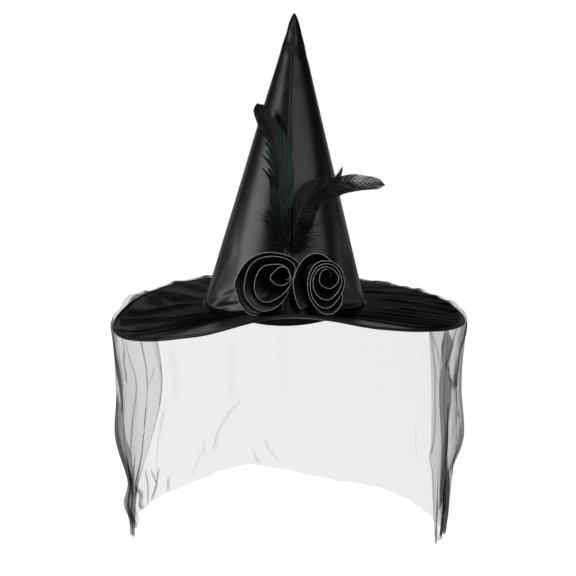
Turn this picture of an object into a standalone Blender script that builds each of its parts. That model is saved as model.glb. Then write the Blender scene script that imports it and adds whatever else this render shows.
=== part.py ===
"""Veiled witch hat: satin cone crown, wired brim, tulle veil, two ribbon roses and two rooster feathers.

The origin is the centre of the head opening, on the plane of the crown's base. +X is the wearer's left,
-Y is the front and +Z is up. Sizes below are millimetres and become metres when a mesh is made.
Azimuth runs from the front towards +X. A turn runs the other way, from the front round the wearer's right
side (-X) and the back to the wearer's left side, because that is how the veil is sewn on.
"""

import math
from collections import namedtuple

import bmesh
import bpy
from mathutils import Vector

MM = 0.001
SEAT_GAP = 0.4          # left between neighbouring pieces
MERGE = 0.002           # points closer than this are one

# Crown: a cone on a 58 cm head opening, leaning a little to +X
OPENING_RADIUS = 91.0
CROWN_HEIGHT = 325.0
CROWN_SLOPE = 0.2716    # radius lost per millimetre of height
CROWN_LEAN = 11.0
CROWN_WALL = 1.6
CROWN_SIDES = 40
CROWN_RINGS = (12.0, 30.0, 52.0, 80.0, 125.0, 180.0, 240.0, 290.0, 315.0)
CROWN_TIP_RADIUS = 2.6
CROWN_HOLLOW_HEIGHT = 300.0
DENT_HEIGHT = 52.0
DENT_SPREAD = 24.0
DENT_DEPTH = 2.2
DENT_PLACES = ((-62.0, 14.0), (66.0, 12.0))     # azimuth and width in degrees

# Brim: round, wired at its edge, its centre a little to +X of the opening
BRIM_RADIUS = 200.0
BRIM_SHIFT = 5.0
BRIM_HALF_THICKNESS = 1.0
BRIM_ROLL_RADIUS = 1.6
BRIM_HOLE_RADIUS = 88.6
BRIM_SIDES = 60
BRIM_RISE_POWER = 1.2

# Height of the brim's edge at each azimuth
EdgeHeight = namedtuple("EdgeHeight", "azimuth height")
BRIM_EDGE = (
    EdgeHeight(-30, -5), EdgeHeight(0, 22), EdgeHeight(30, 3), EdgeHeight(60, -12),
    EdgeHeight(90, -19), EdgeHeight(120, -13), EdgeHeight(150, -9), EdgeHeight(180, -5),
    EdgeHeight(210, -3), EdgeHeight(240, -11), EdgeHeight(270, -25), EdgeHeight(300, -23),
    EdgeHeight(330, -5), EdgeHeight(360, 22), EdgeHeight(390, 3),
)

# Inner band
BAND_WALL = 1.2
BAND_TOP = 12.0
BAND_DROP = 3.0
BAND_FRONT_SAG = 7.6
BAND_SIDES = 40

# Tulle, one sheet for the eye and two solids that meet at the brim's edge
TULLE_WALL = 1.0
COLUMNS_PER_PLEAT = 4
TULLE_FOOT = 0.04       # how far out from the opening the tulle starts, as a share of the brim's width
TULLE_EDGE_REACH = 1.6  # beyond the brim's edge, where the tulle turns down
SHOULDER_HEIGHT = -75.0
WAIST_HEIGHT = -150.0
NECK_HEIGHT = -208.0
VEIL_ROWS = 9

# One row for each fold of the veil, counted in pleats from the front edge on the -X side. foot_turn is where
# the fold starts at the crown and turn where it crosses the brim's edge. Then comes its place at the shoulder,
# waist and neck of the hanging part and at the hem. puff is its height over the brim's edge, and fold is its
# depth at the hem
Fold = namedtuple(
    "Fold",
    "pleat foot_turn turn shoulder_x shoulder_y waist_x waist_y neck_x neck_y hem_x hem_y hem_z puff fold",
)
FOLDS = (
    Fold(0.0, 28, 43.5, -131, -113, -149, -80, -167, -57, -171, -50, -264, 1.0, 2.5),
    Fold(1.3, 41, 55, -149, -106, -158, -66, -168, -46, -172, -42, -262, 1.0, 4.0),
    Fold(2.6, 55, 67, -166, -73, -171, -47, -173, -36, -175, -33, -262, 1.0, 5.0),
    Fold(3.5, 68, 80, -184, -30, -182, -25, -176, -25, -177, -25, -258, 1.0, 5.0),
    Fold(4.2, 80, 91, -189, 2, -188, 2, -179, -8, -180, -12, -256, 1.5, 5.0),
    Fold(5.0, 94, 104, -186, 48, -184, 46, -178, 40, -175, 30, -256, 3.0, 4.0),
    Fold(6.0, 108, 116, -173, 88, -170, 88, -165, 86, -160, 84, -259, 4.5, 3.0),
    Fold(7.0, 121, 128, -152, 123, -150, 122, -149, 120, -147, 118, -260, 4.5, 3.0),
    Fold(8.0, 137, 141, -121, 155, -120, 156, -118, 156, -117, 156, -257, 2.0, 3.0),
    Fold(9.0, 152, 154, -83, 180, -83, 178, -84, 176, -84, 175, -248, 1.0, 3.0),
    Fold(10.0, 166, 167, -40, 195, -41, 193, -43, 191, -44, 190, -242, 1.0, 3.0),
    Fold(11.0, 180, 180, 5, 200, 5, 198, 4, 197, 4, 196, -251, 1.0, 3.0),
    Fold(12.4, 199, 197, 63, 191, 62, 191, 61, 192, 60, 192, -262, 2.0, 3.0),
    Fold(13.8, 217, 214, 116, 168, 116, 172, 115, 175, 114, 177, -267, 2.5, 3.0),
    Fold(14.8, 230, 226, 148, 141, 149, 146, 149, 150, 150, 153, -275, 3.0, 3.0),
    Fold(15.8, 243, 238, 172, 110, 169, 118, 165, 126, 163, 130, -278, 3.0, 3.0),
    Fold(16.8, 257, 250, 190, 74, 185, 88, 177, 98, 173, 103, -279, 3.0, 3.0),
    Fold(17.8, 272, 264, 199, 28, 196, 44, 184, 58, 180, 64, -279, 2.0, 3.5),
    Fold(19.0, 289, 278, 200, -18, 200, -2, 185, 2, 183, 4, -277, 1.0, 4.0),
    Fold(20.0, 303, 290, 189, -62, 190, -32, 184, -22, 182, -20, -272, 1.0, 5.0),
    Fold(21.0, 316, 300, 177, -88, 180, -56, 178, -40, 177, -34, -268, 1.0, 5.0),
    Fold(21.7, 324, 305, 169, -92, 174, -66, 173, -49, 172, -44, -266, 1.0, 4.0),
    Fold(22.5, 332, 312.5, 158, -114, 158, -84, 163, -62, 168, -52, -259, 1.0, 2.5),
)

# How the tulle crosses the brim: share of the brim's width, height over its middle surface, share of puff
Crossing = namedtuple("Crossing", "out lift puff")
TULLE_REST = BRIM_HALF_THICKNESS + SEAT_GAP + TULLE_WALL / 2
CROSSINGS = (
    Crossing(TULLE_FOOT, TULLE_REST, 0.4),
    Crossing(0.35, TULLE_REST, 0.5),
    Crossing(0.65, TULLE_REST, 0.6),
    Crossing(0.88, TULLE_REST + 0.4, 0.8),
    Crossing(0.97, TULLE_REST + 1.2, 1.0),
)
EDGE_LIFT = 1.6         # of the tulle where it passes the brim's edge
EDGE_PUFF_SHARE = 0.6
FOLD_ONSET = 0.25       # share of the drop over which the folds reach their depth
SPLIT_STEP = 1.1        # the drop from the end of one tulle solid to the start of the other

# Roses: a ribbon whose gathered foot winds out on the crown and whose free rim passes these places
RIBBON_WALL = 1.0
RIBBON_STEPS_PER_TURN = 14
RIBBON_ROWS = 3
RIBBON_FOOT_RADIUS = 3.5
RIBBON_FOOT_GROWTH = 3.4    # per turn
RIBBON_FOOT_GAP = 0.8       # to the crown, which is a little flat between its ribs
RIBBON_FLARE = 1.6          # the ribbon stands straight up from its foot and then spreads
RIBBON_RISE = 0.85
Rim = namedtuple("Rim", "angle x y z")
LEFT_ROSE_FOOT = (-7.0, 42.0)
LEFT_ROSE_RIMS = (
    Rim(0, 3, -101, 48), Rim(90, -3, -101, 55), Rim(180, -12, -101, 47), Rim(270, -3, -101, 38),
    Rim(360, 6, -102, 46), Rim(450, -7, -102, 61), Rim(540, -31, -101, 43), Rim(630, -23, -103, 20),
    Rim(690, 3, -105, 30), Rim(765, 8, -103, 60), Rim(810, -15, -99, 68), Rim(900, -43, -96, 38),
    Rim(990, -24, -104, 8), Rim(1040, -10, -106, 9), Rim(1170, -14, -96, 73), Rim(1260, -53, -86, 36),
    Rim(1330, -38, -96, 2),
)
RIGHT_ROSE_FOOT = (40.0, 40.0)
RIGHT_ROSE_RIMS = (
    Rim(0, 49, -100, 46), Rim(90, 44, -100, 53), Rim(180, 39, -101, 47), Rim(270, 44, -101, 36),
    Rim(360, 54, -99, 44), Rim(450, 46, -99, 58), Rim(540, 32, -101, 41), Rim(630, 47, -103, 22),
    Rim(720, 60, -97, 42), Rim(810, 45, -97, 65), Rim(900, 26, -103, 36), Rim(990, 46, -105, 9),
    Rim(1040, 58, -99, 10), Rim(1080, 66, -88, 32), Rim(1125, 58, -88, 60), Rim(1170, 36, -98, 72),
    Rim(1260, 13, -108, 38), Rim(1330, 22, -107, 10),
)

# Feathers: the shaft's path and how far the vane spreads to each side of it, in the plane facing the front.
# The first point's depth is worked out from the crown that it rests on
FEATHER_WALL = 0.9
FEATHER_STEPS = 22
FEATHER_COLUMNS = 4
QUILL_HALF_WIDTH = 0.9
SHAFT_STEP = 0.01       # along the table, to find the shaft's direction
FEATHER_CUP = 0.18      # how far the vane's edges bend back, as a share of their spread
Shaft = namedtuple("Shaft", "x y z left right")
LEFT_FEATHER = (
    Shaft(4.5, -76, 57, 0.9, 0.9), Shaft(4, -72.5, 76, 0.9, 0.9), Shaft(2, -71.5, 86, 6, 1.5),
    Shaft(-1, -70.5, 98, 17, 4), Shaft(-3, -69, 110, 10, 7), Shaft(-4.5, -66.5, 124, 11, 12.5),
    Shaft(-5, -63, 140, 11.5, 15.5), Shaft(-5, -58, 156, 13, 16.5), Shaft(-7, -53, 172, 14, 15.5),
    Shaft(-12, -48, 190, 10.5, 14), Shaft(-20, -42.5, 207, 9.5, 11.5), Shaft(-27, -38, 220, 7, 6),
    Shaft(-30, -36, 227, 2.5, 2.5),
)
RIGHT_FEATHER = (
    Shaft(10, -76, 58, 0.9, 0.9), Shaft(10, -76, 76, 0.9, 6), Shaft(11.5, -75.5, 92, 2, 15),
    Shaft(15, -76, 108, 4, 14), Shaft(21, -74.5, 121, 8, 11), Shaft(31, -68, 132, 12, 12),
    Shaft(43, -60, 138.5, 11, 15), Shaft(58, -50, 141.5, 6, 15), Shaft(74, -42, 142, 8, 12),
    Shaft(90, -36, 140.5, 6, 8), Shaft(102, -31, 138.5, 3.5, 4.5), Shaft(110, -28, 137, 0.9, 0.9),
)


def smooth(keys, values, at):
    """Read a smooth curve (a cubic from each point to the next) through a table's points at one place."""
    last = len(keys) - 1
    place = 0
    while place < last - 1 and at > keys[place + 1]:
        place += 1

    def slope(index):
        before, after = max(index - 1, 0), min(index + 1, last)
        return (values[after] - values[before]) / (keys[after] - keys[before])

    span = keys[place + 1] - keys[place]
    share = (at - keys[place]) / span
    square, cube = share ** 2, share ** 3
    return (
        (2 * cube - 3 * square + 1) * values[place] + (cube - 2 * square + share) * span * slope(place)
        + (3 * square - 2 * cube) * values[place + 1] + (cube - square) * span * slope(place + 1)
    )


def column(rows, name):
    """One named column of a table."""
    return [getattr(row, name) for row in rows]


def brim_edge_height(azimuth):
    """Height of the brim's edge at an azimuth in degrees."""
    return smooth(column(BRIM_EDGE, "azimuth"), column(BRIM_EDGE, "height"), azimuth % 360)


def brim_point(azimuth, out, lift=0.0, reach=0.0):
    """Point of the brim: out is 0 at the opening and 1 at the edge, lift is up and reach is outwards."""
    angle = math.radians(azimuth)
    radius = BRIM_HOLE_RADIUS + out * (BRIM_RADIUS - BRIM_HOLE_RADIUS) + reach
    height = brim_edge_height(azimuth) * max(out, 0.0) ** BRIM_RISE_POWER + lift
    return Vector((BRIM_SHIFT * out + radius * math.sin(angle), -radius * math.cos(angle), height))


def crown_radius(height):
    """Outside radius of the crown at a height."""
    return OPENING_RADIUS - CROWN_SLOPE * height


def crown_shift(height):
    """How far the crown's middle has leant to +X at a height."""
    return CROWN_LEAN * height / CROWN_HEIGHT


def crown_front(x, z, clear):
    """Depth (y) of the front of the crown's wall at x and z, kept clear by a distance."""
    radius = crown_radius(z) + clear
    return -math.sqrt(radius ** 2 - (x - crown_shift(z)) ** 2)


def material(name, colour, roughness, metallic=0.0):
    """Plain finish with a linear colour."""
    finish = bpy.data.materials.new(name)
    finish.use_nodes = True
    shader = finish.node_tree.nodes["Principled BSDF"]
    shader.inputs["Base Color"].default_value = (*colour, 1.0)
    shader.inputs["Roughness"].default_value = roughness
    shader.inputs["Metallic"].default_value = metallic
    return finish


def add_object(name, bm, finish, collection):
    """Turn a bmesh in millimetres into a smooth-shaded object in metres."""
    bmesh.ops.scale(bm, vec=(MM, MM, MM), verts=bm.verts)
    mesh = bpy.data.meshes.new(name)
    bm.to_mesh(mesh)
    bm.free()
    mesh.shade_smooth()
    mesh.materials.append(finish)
    obj = bpy.data.objects.new(name, mesh)
    collection.objects.link(obj)
    return obj


def turned_body(name, profile, closed, sides, bend, finish, collection):
    """Spin a profile of (radius, height) points about Z, then move each by bend(radius, azimuth, height)."""
    bm = bmesh.new()
    verts = [bm.verts.new((0.0, -radius, height)) for radius, height in profile]
    pairs = list(zip(verts, verts[1:]))
    if closed:
        pairs.append((verts[-1], verts[0]))
    edges = [bm.edges.new(pair) for pair in pairs]
    bmesh.ops.spin(bm, geom=verts + edges, axis=(0, 0, 1), cent=(0, 0, 0), angle=2 * math.pi, steps=sides)
    bmesh.ops.remove_doubles(bm, verts=bm.verts, dist=MERGE)
    bmesh.ops.recalc_face_normals(bm, faces=bm.faces)
    for vert in bm.verts:
        radius = math.hypot(vert.co.x, vert.co.y)
        azimuth = math.degrees(math.atan2(vert.co.x, -vert.co.y))
        vert.co = bend(radius, azimuth, vert.co.z)
    return add_object(name, bm, finish, collection)


def sheet_body(name, columns, rows, place, wall, finish, collection):
    """Lay a grid out with place(u, v), where u and v run from 0 to 1, and give it a wall."""
    bm = bmesh.new()
    bmesh.ops.create_grid(bm, x_segments=columns, y_segments=rows, size=0.5)
    for vert in bm.verts:
        vert.co = place(vert.co.x + 0.5, vert.co.y + 0.5)
    obj = add_object(name, bm, finish, collection)
    solidify = obj.modifiers.new("wall", "SOLIDIFY")
    solidify.thickness = wall * MM
    solidify.offset = 0.0
    return obj


def build_crown(finish, collection):
    """Hollow cone with a round tip and soft dents low on both sides of the front."""
    tip_height = CROWN_HEIGHT - CROWN_TIP_RADIUS
    inside = [(0.0, CROWN_HOLLOW_HEIGHT)]
    inside += [(crown_radius(z) - CROWN_WALL, z) for z in reversed(CROWN_RINGS[:-1:2])]
    foot = BRIM_HALF_THICKNESS + SEAT_GAP
    wall_foot = [(crown_radius(foot) - CROWN_WALL, foot), (crown_radius(foot), foot)]
    outside = [(crown_radius(z), z) for z in CROWN_RINGS]
    tip = [
        (CROWN_TIP_RADIUS, tip_height - 0.4 * CROWN_TIP_RADIUS),
        (0.7 * CROWN_TIP_RADIUS, tip_height + 0.6 * CROWN_TIP_RADIUS),
        (0.0, CROWN_HEIGHT),
    ]

    def dent(azimuth, height):
        low = math.exp(-((height - DENT_HEIGHT) / DENT_SPREAD) ** 2)
        across = sum(math.exp(-((azimuth - place) / width) ** 2) for place, width in DENT_PLACES)
        return DENT_DEPTH * low * across

    def bend(radius, azimuth, height):
        angle = math.radians(azimuth)
        pulled = max(radius - dent(azimuth, height), 0.0)
        return Vector((crown_shift(height) + pulled * math.sin(angle), -pulled * math.cos(angle), height))

    profile = inside + wall_foot + outside + tip
    return turned_body("crown", profile, False, CROWN_SIDES, bend, finish, collection)


def build_brim(finish, collection):
    """Flat ring with a rolled edge, bent to the saddle wave of BRIM_EDGE."""
    half = BRIM_HALF_THICKNESS
    roll = BRIM_ROLL_RADIUS
    roll_start = BRIM_RADIUS - 2.3 * roll
    middle = BRIM_RADIUS - roll
    spread = BRIM_RADIUS - BRIM_HOLE_RADIUS
    shares = (0.0, 0.25, 0.5, 0.75)
    under = [(BRIM_HOLE_RADIUS + share * spread, -half) for share in shares]
    over = [(BRIM_HOLE_RADIUS + share * spread, half) for share in reversed(shares)]
    edge = [
        (roll_start, -half), (middle, -roll), (middle + 0.75 * roll, -0.7 * roll), (BRIM_RADIUS, 0.0),
        (middle + 0.75 * roll, 0.7 * roll), (middle, roll), (roll_start, half),
    ]

    def bend(radius, azimuth, height):
        out = (radius - BRIM_HOLE_RADIUS) / spread
        return brim_point(azimuth, out, height)

    return turned_body("brim", under + edge + over, True, BRIM_SIDES, bend, finish, collection)


def build_inner_band(finish, collection):
    """Band inside the opening, clear of the crown's wall, sagging a little at the front."""
    outer = BRIM_HOLE_RADIUS - SEAT_GAP
    top = crown_radius(BAND_TOP) - CROWN_WALL - SEAT_GAP
    profile = [
        (outer, -BAND_DROP), (outer, 0.0), (outer, BRIM_HALF_THICKNESS),
        (top, BAND_TOP), (top - BAND_WALL, BAND_TOP),
        (outer - BAND_WALL, BRIM_HALF_THICKNESS), (outer - BAND_WALL, -BAND_DROP),
    ]

    def bend(radius, azimuth, height):
        angle = math.radians(azimuth)
        if height < 0.0:
            height -= BAND_FRONT_SAG * max(math.cos(angle), 0.0) ** 4
        shift = crown_shift(max(height, 0.0))
        return Vector((shift + radius * math.sin(angle), -radius * math.cos(angle), height))

    return turned_body("inner_band", profile, True, BAND_SIDES, bend, finish, collection)


def fold_value(name, pleat):
    """A column of FOLDS read at any place along the sheet."""
    return smooth(column(FOLDS, "pleat"), column(FOLDS, name), pleat)


def crest(pleat):
    """1 on the crest of a pleat and 0 in the hollow between two."""
    return 0.5 + 0.5 * math.cos(2 * math.pi * pleat)


def tulle_at_edge(pleat):
    """Tulle where it passes the brim's edge, pushed up and out alike by its puff."""
    swell = EDGE_PUFF_SHARE * fold_value("puff", pleat) * crest(pleat)
    return brim_point(-fold_value("turn", pleat), 1.0, EDGE_LIFT + swell, TULLE_EDGE_REACH + swell)


def tulle_over_brim(pleat, share):
    """Tulle from the foot of the crown (share 0) to the brim's edge (share 1), with a row at each crossing."""
    row = round(share * len(CROSSINGS))
    if row == len(CROSSINGS):
        return tulle_at_edge(pleat)
    crossing = CROSSINGS[row]
    foot_turn, turn = fold_value("foot_turn", pleat), fold_value("turn", pleat)
    puff = crossing.puff * fold_value("puff", pleat) * crest(pleat)
    return brim_point(-(foot_turn + crossing.out * (turn - foot_turn)), crossing.out, crossing.lift + puff)


def veil_point(pleat, share):
    """Tulle between the brim's edge (share 0) and the hem (share 1)."""
    start = tulle_at_edge(pleat) - Vector((0.0, 0.0, SPLIT_STEP))
    hem_z = fold_value("hem_z", pleat)
    height = start.z + share * (hem_z - start.z)
    keys = [-start.z, -SHOULDER_HEIGHT, -WAIST_HEIGHT, -NECK_HEIGHT, -hem_z]
    levels = ("shoulder", "waist", "neck", "hem")
    x = smooth(keys, [start.x] + [fold_value(level + "_x", pleat) for level in levels], -height)
    y = smooth(keys, [start.y] + [fold_value(level + "_y", pleat) for level in levels], -height)
    outward = Vector((x - BRIM_SHIFT, y, 0.0)).normalized()
    depth = fold_value("fold", pleat) * min(1.0, share / FOLD_ONSET) * (0.55 + 0.45 * share)
    return Vector((x, y, height)) + outward * depth * (crest(pleat) - 0.5)


def build_tulle(finish, collection):
    """The sheet over the brim and the sheet that hangs from its edge."""
    pleats = FOLDS[-1].pleat
    columns = int(pleats * COLUMNS_PER_PLEAT)

    def over_brim(u, v):
        return tulle_over_brim(u * pleats, v)

    def hanging(u, v):
        return veil_point(u * pleats, v)

    sheet_body("brim_tulle", columns, len(CROSSINGS), over_brim, TULLE_WALL, finish, collection)
    sheet_body("veil", columns, VEIL_ROWS, hanging, TULLE_WALL, finish, collection)


def ribbon_point(foot, rims, angle, share):
    """Ribbon of a rose at an angle of its winding, from its gathered foot (share 0) to its rim (share 1)."""
    angles = column(rims, "angle")
    rim = Vector([smooth(angles, column(rims, axis), angle) for axis in "xyz"])
    turn = math.radians(angle)
    foot_radius = RIBBON_FOOT_RADIUS + RIBBON_FOOT_GROWTH * angle / 360
    x = foot[0] + foot_radius * math.cos(turn)
    z = foot[1] + foot_radius * math.sin(turn)
    y = crown_front(x, z, RIBBON_FOOT_GAP + RIBBON_WALL / 2)
    flare = share ** RIBBON_FLARE
    rise = share ** RIBBON_RISE
    return Vector((x + flare * (rim.x - x), y + rise * (rim.y - y), z + flare * (rim.z - z)))


def build_rose(name, foot, rims, finish, collection):
    """Rose rolled from one ribbon."""
    last = rims[-1].angle
    columns = int(RIBBON_STEPS_PER_TURN * last / 360)

    def place(u, v):
        return ribbon_point(foot, rims, u * last, v)

    return sheet_body(name, columns, RIBBON_ROWS, place, RIBBON_WALL, finish, collection)


def build_feather(name, shafts, finish, collection):
    """Flat vane, cupped a little, round a curved shaft whose foot rests on the crown."""
    foot = shafts[0]
    shafts = [foot._replace(y=crown_front(foot.x, foot.z, SEAT_GAP + FEATHER_WALL / 2)), *shafts[1:]]
    keys = list(range(len(shafts)))

    def place(u, v):
        at = u * keys[-1]
        middle = Vector([smooth(keys, column(shafts, axis), at) for axis in "xyz"])
        ahead = Vector([smooth(keys, column(shafts, axis), at + SHAFT_STEP) for axis in "xyz"])
        along = (ahead - middle).normalized()
        across = along.cross(Vector((0.0, 1.0, 0.0))).normalized()
        side = 2 * v - 1
        spread = smooth(keys, column(shafts, "right" if side > 0 else "left"), at)
        cup = FEATHER_CUP * abs(side) * (spread - QUILL_HALF_WIDTH)
        return middle - across * side * spread + Vector((0.0, cup, 0.0))

    return sheet_body(name, FEATHER_STEPS, FEATHER_COLUMNS, place, FEATHER_WALL, finish, collection)


def main():
    """Clear the scene and build each piece."""
    for obj in list(bpy.data.objects):
        bpy.data.objects.remove(obj)
    collection = bpy.data.collections.new("veiled_hat")
    bpy.context.scene.collection.children.link(collection)

    satin = material("black satin", (0.012, 0.012, 0.013), 0.38)
    band_cloth = material("black band cloth", (0.008, 0.008, 0.009), 0.8)
    tulle = material("black tulle", (0.02, 0.02, 0.022), 0.7)
    feather = material("black rooster feather", (0.006, 0.010, 0.010), 0.45)

    build_crown(satin, collection)
    build_brim(satin, collection)
    build_inner_band(band_cloth, collection)
    build_tulle(tulle, collection)
    build_rose("left_rose", LEFT_ROSE_FOOT, LEFT_ROSE_RIMS, satin, collection)
    build_rose("right_rose", RIGHT_ROSE_FOOT, RIGHT_ROSE_RIMS, satin, collection)
    build_feather("left_feather", LEFT_FEATHER, feather, collection)
    build_feather("right_feather", RIGHT_FEATHER, feather, collection)


main()
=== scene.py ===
"""Looks of the veiled witch hat: satin crown and brim, gathered tulle, ribbon roses and rooster feathers.

Surfaces are worked out with numpy in millimetres and become metres when a mesh is made. The origin is the
centre of the head opening, +X is the wearer's left, -Y is the front and +Z is up. An azimuth runs from the
front towards +X. A turn runs the other way, from the front round the wearer's right side (-X) and the back,
because that is how the tulle is sewn on. Along the tulle, places are counted in pleats from its front edge
on the -X side.
"""

import logging
import math
from dataclasses import dataclass, field
from enum import Enum
from typing import NamedTuple

import bmesh
import bpy
import numpy as np
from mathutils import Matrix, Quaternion, Vector


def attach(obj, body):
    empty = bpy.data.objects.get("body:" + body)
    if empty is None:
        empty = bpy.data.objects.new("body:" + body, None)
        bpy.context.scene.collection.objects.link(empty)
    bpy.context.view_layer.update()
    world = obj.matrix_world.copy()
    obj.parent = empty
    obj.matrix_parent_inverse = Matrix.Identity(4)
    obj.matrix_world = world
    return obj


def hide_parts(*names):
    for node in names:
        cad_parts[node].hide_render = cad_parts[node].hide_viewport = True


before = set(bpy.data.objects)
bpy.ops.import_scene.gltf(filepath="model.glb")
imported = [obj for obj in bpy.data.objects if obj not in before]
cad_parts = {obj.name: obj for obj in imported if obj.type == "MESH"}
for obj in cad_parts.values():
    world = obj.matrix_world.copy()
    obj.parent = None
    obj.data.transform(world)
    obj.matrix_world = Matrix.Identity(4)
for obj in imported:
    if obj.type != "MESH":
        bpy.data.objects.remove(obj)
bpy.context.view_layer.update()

LOG = logging.getLogger("veiled_hat")
MM = 0.001
BODY = "root"
LAYERS_OF_NET = 48      # how many layers of net a line of sight may pass


class Slot(Enum):
    """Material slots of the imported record."""

    SATIN = "satin"
    BAND = "band_cloth"
    TULLE = "tulle"
    RIBBON = "ribbon"
    FEATHER = "feather"


def smooth(keys: np.ndarray, values: np.ndarray, at: np.ndarray,
           swing: np.ndarray | float = 1.0) -> np.ndarray:
    """Read a smooth curve through a table's points.

    Between two keys the curve is the cubic whose slope at each key is the rise between its neighbours over
    their distance.

    Args:
        keys: places of the points, one column of them or one column for each column of at.
        values: heights of the points, in the same shape.
        at: places to read.
        swing: what the slopes are multiplied by, one number or one for each key.

    Returns:
        The curve's heights, in the shape of at.
    """
    keys, values, at = (np.asarray(table, dtype=float) for table in (keys, values, at))
    rank = np.arange(len(keys))
    before = np.maximum(rank - 1, 0)
    after = np.minimum(rank + 1, len(keys) - 1)
    slopes = swing * (values[after] - values[before]) / (keys[after] - keys[before])
    inner = keys[1:-1].reshape((len(keys) - 2,) + (1,) * (at.ndim - keys.ndim + 1) + keys.shape[1:])
    place = (at[None] > inner).sum(axis=0)

    def read(table: np.ndarray, row: np.ndarray) -> np.ndarray:
        """One entry of a table for each place."""
        return table[row] if table.ndim == 1 else table[row, np.arange(table.shape[1])]

    span = read(keys, place + 1) - read(keys, place)
    share = (at - read(keys, place)) / span
    square, cube = share ** 2, share ** 3
    return (
        (2 * cube - 3 * square + 1) * read(values, place)
        + (cube - 2 * square + share) * span * read(slopes, place)
        + (3 * square - 2 * cube) * read(values, place + 1)
        + (cube - square) * span * read(slopes, place + 1)
    )


def column(rows: tuple, name: str) -> np.ndarray:
    """One named column of a table."""
    return np.array([getattr(row, name) for row in rows], dtype=float)


def hump(at: np.ndarray, middle: float, width: float) -> np.ndarray:
    """A bell of height 1: e to the minus square of the distance from its middle over its width."""
    return np.exp(-((at - middle) / width) ** 2)


def ease(at: np.ndarray, start: float, end: float) -> np.ndarray:
    """0 before start, 1 after end and three squares less two cubes of the share between them."""
    share = np.clip((at - start) / (end - start), 0.0, 1.0)
    return share * share * (3 - 2 * share)


def unit(vectors: np.ndarray) -> np.ndarray:
    """Each vector over its length."""
    return vectors / np.maximum(np.linalg.norm(vectors, axis=-1, keepdims=True), 1e-9)


def wander(at: np.ndarray, seed: int, waves: tuple[float, ...]) -> np.ndarray:
    """A smooth uneven line between about -1 and 1: the mean of sines with these numbers of waves per unit."""
    phases = np.random.default_rng(seed).uniform(0, 2 * math.pi, len(waves))
    return sum(np.sin(2 * math.pi * wave * at + phase) for wave, phase in zip(waves, phases)) / len(waves)


@dataclass
class Patch:
    """A grid of points, or a batch of like grids, that becomes faces.

    Attributes:
        points: (..., rows, columns, 3) in millimetres.
        uv: (..., rows, columns, 2), one row or column longer where the grid closes on itself.
        closed: the last column joins the first.
        looped: the last row joins the first.
        marks: named values for each point, (..., rows, columns).
        slot: which of the piece's finishes it takes.
    """

    points: np.ndarray
    uv: np.ndarray
    closed: bool = False
    looped: bool = False
    marks: dict[str, np.ndarray] = field(default_factory=dict)
    slot: int = 0

    def corners(self) -> tuple[np.ndarray, np.ndarray]:
        """Four point numbers and four places in the cloth for each face.

        Returns:
            Both tables, one row for each corner or face.
        """
        shape = self.points.shape[-3:-1]
        index = np.arange(self.points.size // 3).reshape(-1, *shape)
        if self.closed:
            index = np.concatenate([index, index[:, :, :1]], axis=2)
        if self.looped:
            index = np.concatenate([index, index[:, :1]], axis=1)
        flat_uv = self.uv.reshape(-1, 2)
        uv_index = np.arange(len(flat_uv)).reshape(index.shape)
        return four_corners(index), flat_uv[four_corners(uv_index)]


def four_corners(grid: np.ndarray) -> np.ndarray:
    """The four corners of each cell of a batch of grids, in turn round the cell."""
    corners = [grid[:, :-1, :-1], grid[:, :-1, 1:], grid[:, 1:, 1:], grid[:, 1:, :-1]]
    return np.stack(corners, axis=-1).reshape(-1, 4)


def even_uv(rows: int, columns: int) -> np.ndarray:
    """A plain grid of places from 0 to 1 both ways: x along a row and y along a column."""
    across, up = np.meshgrid(np.linspace(0, 1, columns), np.linspace(0, 1, rows))
    return np.stack([across, up], axis=-1)


def make_piece(name: str, patches: list[Patch], finishes: list[bpy.types.Material],
               stands_for: tuple[str, ...] = (), solid: bool = False) -> bpy.types.Object:
    """Join patches into one smooth-shaded object that rides on the hat.

    Args:
        name: the piece's name.
        patches: its grids.
        finishes: its materials, in the order that the patches count them.
        stands_for: CAD nodes that it replaces.
        solid: merge doubled points and turn the faces outwards.

    Returns:
        The new object.
    """
    points, quads, uvs, slots, start = [], [], [], [], 0
    marks: dict[str, list[np.ndarray]] = {mark: [] for patch in patches for mark in patch.marks}
    for patch in patches:
        flat = patch.points.reshape(-1, 3)
        faces, places = patch.corners()
        points.append(flat * MM)
        quads.append(faces + start)
        uvs.append(places)
        slots.append(np.full(len(faces), patch.slot))
        for mark, values in marks.items():
            values.append(np.asarray(patch.marks.get(mark, np.zeros(len(flat))), dtype=float).ravel())
        start += len(flat)
    mesh = bpy.data.meshes.new(name)
    mesh.from_pydata(np.concatenate(points).tolist(), [], np.concatenate(quads).tolist())
    for mark, values in marks.items():
        mesh.attributes.new(mark, "FLOAT", "POINT").data.foreach_set("value", np.concatenate(values))
    mesh.uv_layers.new(name="cloth").data.foreach_set("uv", np.concatenate(uvs).ravel())
    mesh.polygons.foreach_set("material_index", np.concatenate(slots))
    for finish in finishes:
        mesh.materials.append(finish)
    if solid:
        bm = bmesh.new()
        bm.from_mesh(mesh)
        bmesh.ops.remove_doubles(bm, verts=bm.verts, dist=0.001 * MM)
        bmesh.ops.recalc_face_normals(bm, faces=bm.faces)
        bm.to_mesh(mesh)
        bm.free()
    mesh.shade_smooth()
    piece = bpy.data.objects.new(name, mesh)
    bpy.context.scene.collection.objects.link(piece)
    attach(piece, BODY)
    if stands_for:
        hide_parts(*stands_for)
    LOG.info("%s: %d faces", name, len(mesh.polygons))
    return piece


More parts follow.
